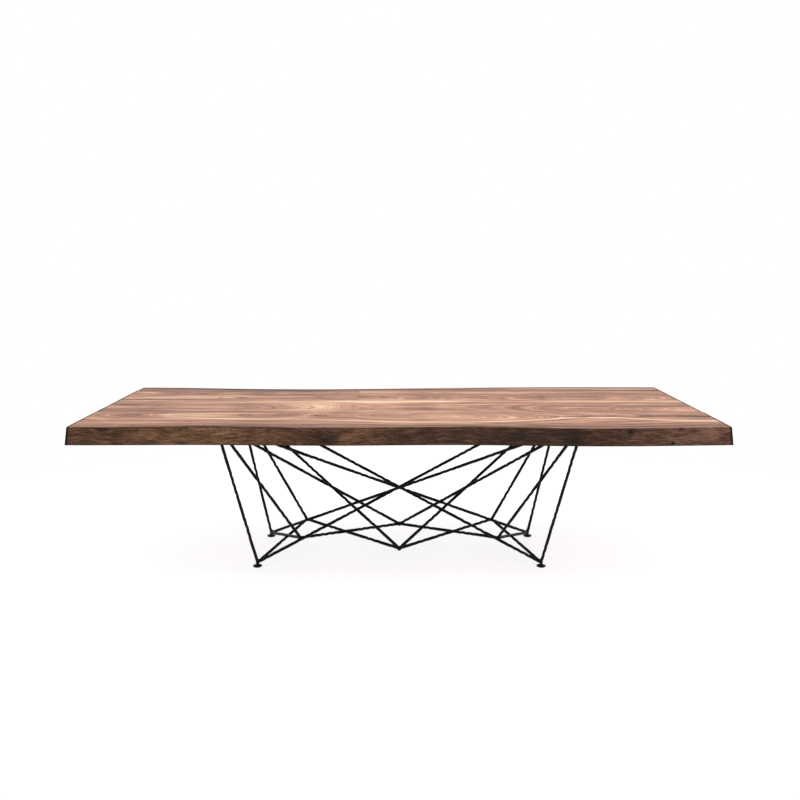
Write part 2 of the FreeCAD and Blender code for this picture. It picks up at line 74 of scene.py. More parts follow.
class Graph:
    """The node tree of a material, or of the world, with short calls for its nodes."""

    def __init__(self, name, world=False):
        self.owner = (bpy.data.worlds if world else bpy.data.materials).new(name)
        self.owner.use_nodes = True
        self.nodes = self.owner.node_tree.nodes
        self.links = self.owner.node_tree.links
        self.last = "ShaderNodeOutputWorld" if world else "ShaderNodeOutputMaterial"
        self.nodes.clear()

    def add(self, kind, **settings):
        node = self.nodes.new(kind)
        for name, value in settings.items():
            setattr(node, name, value)
        return node

    def put(self, socket, value):
        if isinstance(value, bpy.types.NodeSocket):
            self.links.new(value, socket)
        else:
            socket.default_value = value

    def math(self, operation, *values):
        node = self.add("ShaderNodeMath", operation=operation)
        for socket, value in zip(node.inputs, values):
            self.put(socket, value)
        return node.outputs[0]

    def total(self, *terms):
        result = terms[0]
        for term in terms[1:]:
            result = self.math("ADD", result, term)
        return result

    def minus(self, value, other):
        return self.math("SUBTRACT", value, other)

    def times(self, value, factor):
        return self.math("MULTIPLY", value, factor)

    def linear(self, value, slope, start):
        """The value times a slope, plus a start."""
        return self.math("MULTIPLY_ADD", value, slope, start)

    def swing(self, value, amount, middle=0.0):
        """A noise of 0 to 1 as an amount that swings evenly about its middle."""
        return self.linear(value, amount, middle - amount / 2)

    def distance(self, one, other):
        """How far off a point is, from its distances along two axes."""
        return self.math("SQRT", self.total(self.times(one, one), self.times(other, other)))

    def smooth(self, value, low, high):
        """From 0 at low to 1 at high, along an even curve."""
        node = self.add("ShaderNodeMapRange", interpolation_type="SMOOTHSTEP")
        self.put(node.inputs["Value"], value)
        self.put(node.inputs["From Min"], low)
        self.put(node.inputs["From Max"], high)
        return node.outputs["Result"]

    def split(self, vector):
        node = self.add("ShaderNodeSeparateXYZ")
        self.put(node.inputs[0], vector)
        return node.outputs[0], node.outputs[1], node.outputs[2]

    def place(self):
        """Where the surface is, as a vector in the shared frame."""
        return self.add("ShaderNodeTexCoord").outputs["Object"]

    def facing(self):
        """X, Y and Z of the direction that the surface faces."""
        return self.split(self.add("ShaderNodeNewGeometry").outputs["True Normal"])

    def vector(self, x, y, z):
        node = self.add("ShaderNodeCombineXYZ")
        for socket, value in zip(node.inputs, (x, y, z)):
            self.put(socket, value)
        return node.outputs[0]

    def noise(self, vector, scale=1.0, detail=2.0, roughness=0.5, distortion=0.0):
        node = self.add("ShaderNodeTexNoise")
        self.put(node.inputs["Vector"], vector)
        for name, value in (("Scale", scale), ("Detail", detail), ("Roughness", roughness),
                            ("Distortion", distortion)):
            self.put(node.inputs[name], value)
        return node.outputs["Fac"]

    def stretched(self, values, scales, third, detail, roughness, distortion=0.0):
        """Noise over two values, each at a scale of its own, and a third as it is."""
        spot = self.vector(*map(self.times, values, scales), third)
        return self.noise(spot, 1.0, detail, roughness, distortion)

    def ramp(self, value, stops):
        """A colour from a value, along (position, colour) stops."""
        node = self.add("ShaderNodeValToRGB")
        elements = node.color_ramp.elements
        while len(elements) < len(stops):
            elements.new(0.5)
        for element, (position, colour) in zip(elements, stops):
            element.position = position
            element.color = colour
        self.put(node.inputs["Fac"], value)
        return node.outputs["Color"]

    def mix(self, share, one, other, blend="MIX"):
        node = self.add("ShaderNodeMix", data_type="RGBA", blend_type=blend)
        self.put(node.inputs[0], share)
        self.put(node.inputs[6], one)
        self.put(node.inputs[7], other)
        return node.outputs[2]

    def tint(self, colour, filter_colour, share):
        """The colour as it shows through a filter, where its share is 1."""
        return self.mix(share, colour, filter_colour, "MULTIPLY")

    def bump(self, height, distance, strength, below=None):
        node = self.add("ShaderNodeBump")
        self.put(node.inputs["Height"], height)
        node.inputs["Distance"].default_value = distance
        node.inputs["Strength"].default_value = strength
        if below is not None:
            self.put(node.inputs["Normal"], below)
        return node.outputs["Normal"]

    def principled(self, colour, roughness, normal, **constants):
        shader = self.add("ShaderNodeBsdfPrincipled")
        self.put(shader.inputs["Base Color"], colour)
        self.put(shader.inputs["Roughness"], roughness)
        self.put(shader.inputs["Normal"], normal)
        for name, value in constants.items():
            shader.inputs[name].default_value = value
        return self.finish(shader)

    def finish(self, shader):
        self.put(self.add(self.last).inputs["Surface"], shader.outputs[0])
        return self.owner


def srgb(red, green, blue):
    """A colour of 0 to 255 as it shows on a screen, as linear values with alpha."""
    def linear(level):
        share = level / 255
        return share / 12.92 if share <= 0.04045 else ((share + 0.055) / 1.055) ** 2.4
    return (linear(red), linear(green), linear(blue), 1.0)


# Meshes


X_AXIS, Y_AXIS = Vector((1, 0, 0)), Vector((0, 1, 0))


def turns(around):
    return [FULL_TURN * step / around for step in range(around)]


def hoop(centre, aside, across, radii):
    """A ring of points in the plane of two directions, each point at its own radius."""
    return [centre + aside * (math.cos(turn) * radius) + across * (math.sin(turn) * radius)
            for turn, radius in zip(turns(len(radii)), radii)]


class Shell:
    """Vertices and faces of a piece, gathered from tubes of matching rings."""

    def __init__(self):
        self.vertices = []
        self.faces = []
        self.marks = []
        self.flat = []

    def face(self, corners, mark, flat=False):
        self.faces.append(corners)
        self.marks.append(mark)
        self.flat.append(flat)

    def tube(self, rings, mark=0):
        """A skin over rings that follow one another, closed by a flat cap at each end."""
        first = len(self.vertices)
        around = len(rings[0])
        for ring in rings:
            self.vertices.extend(ring)
        last = first + (len(rings) - 1) * around
        for base in range(first, last, around):
            for step in range(around):
                after = (step + 1) % around
                self.face((base + step, base + after, base + around + after,
                           base + around + step), mark)
        self.face(tuple(first + step for step in reversed(range(around))), mark, True)
        self.face(tuple(last + step for step in range(around)), mark, True)

    def lathe(self, profile, centre, around, radius_at=None):
        """A turned shape about a vertical line; radius_at may vary the radius round it."""
        rings = []
        for radius, height in profile:
            radii = [radius_at(radius, height, turn) if radius_at else radius
                     for turn in turns(around)]
            rings.append(hoop(Vector((centre.x, centre.y, height)), X_AXIS, Y_AXIS, radii))
        self.tube(rings)

    def mesh(self, name):
        mesh = bpy.data.meshes.new(name)
        mesh.from_pydata([tuple(v) for v in self.vertices], [], self.faces)
        for polygon, mark, flat in zip(mesh.polygons, self.marks, self.flat):
            polygon.material_index = mark
            polygon.use_smooth = not flat
        work = bmesh.new()
        work.from_mesh(mesh)
        bmesh.ops.recalc_face_normals(work, faces=work.faces)
        work.to_mesh(mesh)
        work.free()
        return mesh

    def piece(self, name, body, slot, materials, replaced):
        return add_piece(name, self.mesh(name), body, materials, replaced)


def add_piece(name, mesh, body, materials, replaced=()):
    piece = bpy.data.objects.new(name, mesh)
    bpy.context.scene.collection.objects.link(piece)
    for material in materials:
        mesh.materials.append(material)
    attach(piece, body)
    if replaced:
        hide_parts(*replaced)
    return piece


def middle_of(node):
    low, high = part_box(node)
    return (low + high) / 2


# Walnut

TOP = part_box("front_plank")[1].z
HALF_LENGTH = cad_high.x
EDGE_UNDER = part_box("front_edge_board")[0].z

# From the outline of a live edge to the heart of its rings
EDGE_TO_HEART = 0.24
# How far a sawn end leans out towards its foot, and how wide a rough line lies beside it
END_SLOPE = 2 * MM
END_LINE = 14 * MM
OILED = {"Specular IOR Level": 0.35}
FIBRE_RELIEF = 0.12 * MM

# Spans of the values that the curves along the table take
HEART_SPAN = (-0.8, 0.8)
DEPTH_SPAN = (0.0, 0.6)
STREAK_SPAN = (-0.62, 0.62)
TONE_SPAN = (-1.0, 1.0)
SHARE_SPAN = (0.0, 1.0)

# Layers of the grain: scales along the board and through its rings, detail, roughness,
# offset of the seed, and how far the layer moves the tone
GRAIN_LAYERS = {
    "broad": ((0.55, 13), 2, 0.5, 0, 0.70), "band": ((0.75, 33), 3, 0.6, 5, 1.05),
    "medium": ((1.3, 55), 2, 0.55, 11, 0.90), "fleck": ((8, 62), 2, 0.6, 29, 0.50),
    "fine": ((3.5, 260), 3, 0.6, 23, 0.65), "fibre": ((16, 1500), 2, 0.6, 37, 0.22)}
RING_WIDTH = 6.5 * MM
RING_LINE, PORE, KNOT_SHADE = 0.24, 0.12, 0.55
STREAK_GAIN = 1.6
STREAK_FADE = 0.12

# How far each layer of the natural edge moves its tone, from a middle one
EDGE_AMOUNTS = {"wave": 0.95, "lines": 1.9, "hairs": 0.4, "scars": 0.4, "crumbs": 0.3,
                "patch": 0.6}
EDGE_MIDDLE = 0.47

# Walnut from its darkest grain to its palest sapwood
WALNUT_TONES = [
    (0.00, srgb(60, 34, 24)), (0.16, srgb(97, 59, 43)), (0.34, srgb(144, 95, 70)),
    (0.50, srgb(175, 121, 94)), (0.66, srgb(201, 148, 116)), (0.82, srgb(224, 177, 142)),
    (1.00, srgb(240, 206, 172))]
EDGE_TONES = [
    (0.00, srgb(30, 15, 7)), (0.22, srgb(49, 29, 17)), (0.46, srgb(75, 48, 30)),
    (0.70, srgb(108, 73, 49)), (1.00, srgb(154, 114, 84))]

# Filters over the wood's own colour
ROSE, GREY = srgb(214, 176, 166), srgb(205, 203, 205)
SAWN, ROUGH_SAWN = srgb(118, 102, 93), srgb(60, 46, 38)
# SHADED is painted shade, laid on the foot and brow of a natural edge
COOL, WARM, SHADED = srgb(228, 225, 250), srgb(255, 186, 156), srgb(96, 84, 78)
# DARK_RIM is partly the bark's colour and partly painted shade on the brim of a natural edge
DARK_KNOT, DARK_RIM = srgb(18, 12, 10), srgb(40, 27, 21)


def curve(g, x, stops, span):
    """A value that follows given stops (x, value) along the table, within a span of values."""
    node = g.add("ShaderNodeFloatCurve")
    low, high = span
    line = node.mapping.curves[0]
    places = [((stop_x + HALF_LENGTH) / (2 * HALF_LENGTH), (value - low) / (high - low))
              for stop_x, value in stops]
    while len(line.points) < len(places):
        line.points.new(0.5, 0.5)
    for point, place in zip(line.points, places):
        point.location = place
    node.mapping.use_clip = False
    node.mapping.update()
    g.put(node.inputs["Value"], g.linear(x, 1 / (2 * HALF_LENGTH), 0.5))
    return g.linear(node.outputs[0], high - low, low)


def hill(g, values, place, reach, height):
    """A height at a place, given by one value or more, that falls away within its reach."""
    parts = [g.math("POWER", g.times(g.minus(value, centre), 1 / width), 2)
             for value, centre, width in zip(values, place, reach)]
    return g.times(g.math("POWER", math.e, g.times(g.total(*parts), -1)), height)


def streak(g, x, y, grain, stops, width, amount, reach):
    """A stripe along given stops (x, y), broken by the grain, fading out beyond its reach."""
    across = g.minus(y, curve(g, x, stops, STREAK_SPAN))
    start, stop = (g.smooth(x, end - STREAK_FADE, end + STREAK_FADE) for end in reach)
    fade = g.times(start, g.minus(1.0, stop))
    gain = amount * STREAK_GAIN
    return g.times(hill(g, (across,), (0.0,), (width,), fade),
                   g.linear(grain, 2.4 * gain, -0.2 * gain))


def walnut_grain(g, x, y, z, spec):
    """Tone, pores and fibres of a board sawn from a trunk whose heart lies under it."""
    seed = spec["seed"]
    slow = g.stretched((x, y), (1.1, 3.5), g.total(z, seed * 3.7), 2, 0.45)
    across = g.total(g.minus(y, curve(g, x, spec["heart"], HEART_SPAN)),
                     g.swing(slow, spec["sway"]))
    down = g.total(g.minus(z, TOP), curve(g, x, spec["depth"], DEPTH_SPAN))
    radius = g.distance(across, down)
    for swirl in spec.get("swirls", ()):
        radius = g.total(radius, hill(g, (x, y), *swirl))
    for place, size in spec.get("knots", ()):
        radius = g.total(radius, hill(g, (x, y), place, (2.4 * size, 1.2 * size), 1.2 * size))
    ruffle = g.stretched((x, y), (11, 38), g.total(z, seed * 5.1), 2, 0.5)
    radius = g.total(radius, g.swing(ruffle, 5 * MM))

    def layer(scales, detail, roughness, offset):
        return g.stretched((x, radius), scales, g.linear(z, 2.0, seed + offset), detail,
                           roughness)

    layers = {name: layer(*shape) for name, (*shape, _) in GRAIN_LAYERS.items()}
    ring = g.math("FRACT", g.total(g.times(radius, 1 / RING_WIDTH),
                                   g.times(layer((0.3, 26), 1, 0.5, 51), 3.5)))
    line = g.minus(g.smooth(ring, 0.3, 0.9), g.smooth(ring, 0.92, 1.0))
    strength = g.smooth(layer((0.8, 34), 1, 0.5, 67), 0.34, 0.68)
    tone = g.total(
        spec["level"],
        *[g.swing(layers[name], amount) for name, (*_, amount) in GRAIN_LAYERS.items()],
        g.times(g.times(line, strength), -RING_LINE),
        *[streak(g, x, y, layers["medium"], *stripe) for stripe in spec.get("streaks", ())],
        *[hill(g, (x, y), place, reach, amount * STREAK_GAIN)
          for place, reach, amount in spec.get("clouds", ())],
        *[hill(g, (x, y), place, (0.62 * size, 0.38 * size), -KNOT_SHADE)
          for place, size in spec.get("knots", ())])
    pores = g.smooth(g.stretched((x, y), (55, 1300), g.linear(z, 1300, seed), 1, 0.5),
                     0.66, 0.78)
    return g.minus(tone, g.times(pores, PORE)), pores, layers["fibre"]


def walnut_colour(g, x, y, tone, spec):
    """The board's colour, with patches that lean to rose or to grey."""
    lean = g.stretched((x, y), (0.9, 7), spec["seed"] * 1.9, 2, 0.5)
    colour = g.tint(g.ramp(tone, WALNUT_TONES), spec.get("rose", ROSE),
                    g.times(g.smooth(lean, 0.5, 0.72), 0.55))
    return g.tint(colour, GREY, g.times(g.smooth(lean, 0.48, 0.28), 0.45))


def end_share(g):
    """1 on the sawn ends, where the surface faces along X."""
    return g.math("GREATER_THAN", g.math("ABSOLUTE", g.facing()[0]), 0.6)


def end_line(g, x, y, spec):
    """1 in an uneven line along the sawn ends, where the saw left the wood rough."""
    left, right = (HALF_LENGTH - END_SLOPE - offset * MM for offset in spec["ends"])
    patchy = g.noise(g.vector(y, 0.0, spec["seed"]), 11, 2, 0.6)
    x = g.total(x, g.times(g.times(g.math("SIGN", x), g.minus(patchy, 0.5)), 1.4 * END_LINE))
    return g.total(g.smooth(x, right - END_LINE, right - 0.5 * END_LINE),
                   g.smooth(x, END_LINE - left, 0.5 * END_LINE - left))


def darken_ends(g, colour, line):
    """The sawn ends, and the line beside them, drink more oil and turn dark."""
    face = end_share(g)
    colour = g.tint(colour, ROUGH_SAWN, g.times(line, g.linear(face, -0.9, 0.9)))
    return g.tint(colour, SAWN, face)


def fibre_bump(g, fibre, pores, below=None):
    return g.bump(g.minus(g.times(fibre, 0.5), pores), FIBRE_RELIEF, 0.6, below)


def board_finish(name, spec):
    """Oiled walnut with satin sheen, planed flat, dark on its sawn ends."""
    g = Graph(name)
    x, y, z = g.split(g.place())
    tone, pores, fibre = walnut_grain(g, x, y, z, spec)
    line = end_line(g, x, y, spec)
    colour = darken_ends(g, walnut_colour(g, x, y, tone, spec), line)
    rough = g.total(g.swing(fibre, 0.12, 0.52), g.times(pores, 0.2), g.times(line, 0.5))
    return g.principled(colour, rough, fibre_bump(g, fibre, pores), **OILED)


def natural_edge_layers(g, x, z, spec):
    """Noises of the wood just under the bark, and how far off each of its knots is, in sizes."""
    seed = spec["seed"]
    drift = g.stretched((x, z), (5, 4), seed, 1, 0.4)
    shiver = g.stretched((x, z), (34, 12), seed + 2, 2, 0.5)
    slant = g.total(z, g.swing(drift, 70 * MM), g.swing(shiver, 7 * MM),
                    g.times(g.math("SINE", g.linear(x, 9.1, seed)), 7 * MM))
    crumbs = g.stretched((x, z), (110, 130), seed + 3, 2, 0.6)
    knots = []
    for *place, size in spec["edge_knots"]:
        aside = g.times(g.minus(x, place[0]), 0.8 / size)
        above = g.times(g.minus(z, place[1]), 1 / size)
        knots.append(g.total(g.distance(aside, above), g.swing(crumbs, 1.4)))
        bend = hill(g, (x, z), place, (3.2 * size, 2 * size), above)
        slant = g.total(slant, g.times(bend, -0.7 * size))
    crossing = g.vector(g.linear(z, 90, g.times(x, 150)), g.linear(z, 30, g.times(x, -18)),
                        seed + 13)
    layers = {
        "wave": g.stretched((x, slant), (11, 85), seed, 3, 0.6, 0.1),
        "lines": g.stretched((x, slant), (14, 320), seed + 5, 3, 0.65, 0.05),
        "hairs": g.stretched((x, slant), (120, 2400), seed + 7, 2, 0.6),
        "scars": g.noise(crossing, 1.0, 2, 0.6),
        "crumbs": crumbs,
        "patch": g.stretched((x, z), (13, 22), seed + 9, 3, 0.65)}
    return layers, knots


def natural_edge_colour(g, x, z, spec, layers, knots):
    """Dark wood, cooler to the right, with painted shade along its foot and brow, and nearly black
    knots.
    """
    level = g.total(
        EDGE_MIDDLE, curve(g, x, spec["edge_level"], TONE_SPAN),
        *[g.swing(layers[name], amount) for name, amount in EDGE_AMOUNTS.items()],
        *[hill(g, (x, z), *cloud) for cloud in spec["edge_clouds"]],
        *[g.times(g.smooth(away, 2.6, 0.9), -0.16) for away in knots])
    colour = g.tint(g.ramp(level, EDGE_TONES), COOL,
                    g.smooth(curve(g, x, spec["grey"], TONE_SPAN), 0.0, 1.0))
    red = g.times(g.smooth(z, EDGE_UNDER + 30 * MM, EDGE_UNDER + 4 * MM),
                  g.smooth(layers["patch"], 0.42, 0.66))
    colour = g.tint(colour, WARM, g.times(red, 0.35))
    # Painted shade: a dark line along the foot of the natural edge, and one under its brow on the
    # left
    hem = g.smooth(z, EDGE_UNDER + 5.5 * MM, EDGE_UNDER + 2.5 * MM)
    brow = g.times(g.smooth(z, TOP - 9 * MM, TOP - 4 * MM), g.smooth(x, 0.4, 0.0))
    colour = g.tint(colour, SHADED, g.total(g.times(hem, 0.75), g.times(brow, 0.6)))
    for away in knots:
        colour = g.mix(g.smooth(away, 1.2, 0.7), colour, DARK_KNOT)
    return colour


def dark_rim(g, x, y, spec, patch):
    """1 on the top along the natural edge: partly the bark's colour reaching over its brim, partly
    painted shade on the brim.
    """
    heart = curve(g, x, spec["heart"], HEART_SPAN)
    inward = g.minus(EDGE_TO_HEART, g.math("ABSOLUTE", g.minus(y, heart)))
    inward = g.total(inward, g.swing(patch, 16 * MM))
    return g.times(g.smooth(inward, spec["rim_width"], 0.4 * spec["rim_width"]),
                   curve(g, x, spec["rim"], SHARE_SPAN))


def live_edge_finish(name, spec):
    """Walnut above, and on the natural edge the dark wood that lay just under the bark."""
    g = Graph(name)
    x, y, z = g.split(g.place())
    tone, pores, fibre = walnut_grain(g, x, y, z, spec)
    layers, knots = natural_edge_layers(g, x, z, spec)
    rim = dark_rim(g, x, y, spec, layers["patch"])
    # The dark rim is partly bark colour and partly painted shade on the brim
    top_colour = g.mix(rim, walnut_colour(g, x, y, tone, spec), DARK_RIM)
    brim = g.total(z, g.swing(layers["wave"], 1.2 * MM))
    outward = g.times(g.minus(1.0, g.smooth(brim, *spec["brim"])),
                      g.smooth(g.times(g.facing()[1], spec["side"]), 0.12, 0.4))
    outward = g.times(outward, g.minus(1.0, end_share(g)))
    line = end_line(g, x, y, spec)
    colour = g.mix(outward, top_colour, natural_edge_colour(g, x, z, spec, layers, knots))
    rough = g.total(0.48, g.times(outward, 0.2), g.times(layers["lines"], 0.14),
                    g.times(line, 0.5), g.times(rim, 0.5))
    height = g.total(*[g.times(layers[layer], share) for layer, share in
                       (("wave", 1.2), ("lines", 1.1), ("hairs", 0.5), ("scars", 0.6))])
    normal = fibre_bump(g, fibre, pores, g.bump(g.times(height, outward), 1.3 * MM, 0.8))
    return g.principled(darken_ends(g, colour, line), rough, normal, **OILED)


# Metal, plastic and plain wood


def iron_finish(name):
    """Blackened iron: near black, with faint brown scale and a soft uneven sheen."""
    g = Graph(name)
    place = g.place()
    scale = g.noise(place, 140, 4, 0.6)
    patches = g.noise(place, 22, 3, 0.5)
    colour = g.ramp(g.total(g.times(scale, 0.5), g.times(patches, 0.5)), [
        (0.30, srgb(4, 4, 4)), (0.52, srgb(8, 8, 7)), (0.70, srgb(24, 20, 17))])
    dents = g.bump(g.noise(place, 90, 2, 0.5), 0.8 * MM, 0.6)
    normal = g.bump(g.noise(place, 420, 3, 0.6), 0.35 * MM, 0.5, dents)
    return g.principled(colour, g.linear(scale, 0.3, 0.36), normal,
                        **{"Specular IOR Level": 0.15})


def clouded_finish(name, tones, clouds, spread, rough, sheen, dents, **constants):
    """A coat between two tones; noises say where it is darker, where rougher, and its dents."""
    g = Graph(name)
    place = g.place()
    colour = g.ramp(g.noise(place, *clouds), list(zip((0.5 - spread, 0.5 + spread), tones)))
    dent_scale, depth, strength = dents
    normal = g.bump(g.noise(place, dent_scale, 2, 0.5), depth, strength)
    return g.principled(colour, g.linear(g.noise(place, *sheen), *rough), normal, **constants)


def coat_finish(name, dark, pale, roughness):
    """Black powder coat: an even colour with a fine orange-peel texture."""
    return clouded_finish(name, (dark, pale), (60, 3, 0.5), 0.15, (0.18, roughness - 0.09),
                          (35, 3, 0.5), (900, 0.12 * MM, 0.5), **{"Specular IOR Level": 0.3})


def plated_finish(name, dark, pale):
    """Zinc plate, slightly cloudy, with a turned texture."""
    return clouded_finish(name, (dark, pale), (120, 3, 0.6), 0.2, (0.25, 0.22), (300, 2, 0.5),
                          (1400, 0.05 * MM, 0.4), Metallic=1.0)


def plain_wood_finish(name, along_y, tones, seed):
    """Planed wood with straight grain, for the parts under and inside the top."""
    g = Graph(name)
    x, y, z = g.split(g.place())
    run, side = (y, x) if along_y else (x, y)
    wander = g.swing(g.noise(g.vector(g.times(run, 3), side, seed), 1.0, 2, 0.5), 12 * MM)
    reach = g.total(side, g.times(z, 0.6), wander)
    broad = g.stretched((run, reach), (1.5, 90), seed, 3, 0.55)
    lines = g.stretched((run, reach), (9, 700), g.times(z, 700), 3, 0.6)
    colour = g.ramp(g.total(g.times(broad, 0.65), g.times(lines, 0.35)),
                    list(zip((0.3, 0.5, 0.72), tones)))
    return g.principled(colour, g.linear(lines, 0.15, 0.45), g.bump(lines, 0.15 * MM, 0.6))


iron = iron_finish("blackened_iron")
plate_coat = coat_finish("plate_coat", srgb(24, 23, 23), srgb(34, 33, 32), 0.45)
foot_coat = coat_finish("foot_coat", srgb(10, 10, 10), srgb(20, 19, 18), 0.48)
glide_polyamide = coat_finish("glide_polyamide", srgb(30, 30, 30), srgb(44, 43, 42), 0.62)
zinc = plated_finish("zinc_plate", srgb(150, 152, 154), srgb(186, 187, 184))
dark_zinc = plated_finish("dark_zinc_plate", srgb(38, 38, 40), srgb(62, 61, 60))
batten_walnut = plain_wood_finish("batten_walnut", True, (
    srgb(98, 66, 48), srgb(134, 93, 68), srgb(168, 124, 94)), 4.0)
beech = plain_wood_finish("beech", False, (
    srgb(176, 132, 92), srgb(205, 163, 120), srgb(224, 188, 146)), 8.0)


# Boards of the top

JOINTS = [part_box("front_plank")[0].y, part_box("middle_plank")[0].y,
          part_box("rear_left_plank")[0].y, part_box("rear_edge_board")[0].y]
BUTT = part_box("rear_right_plank")[0].x
BLOCK_INNER = abs(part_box("left_end_block")[1].x)
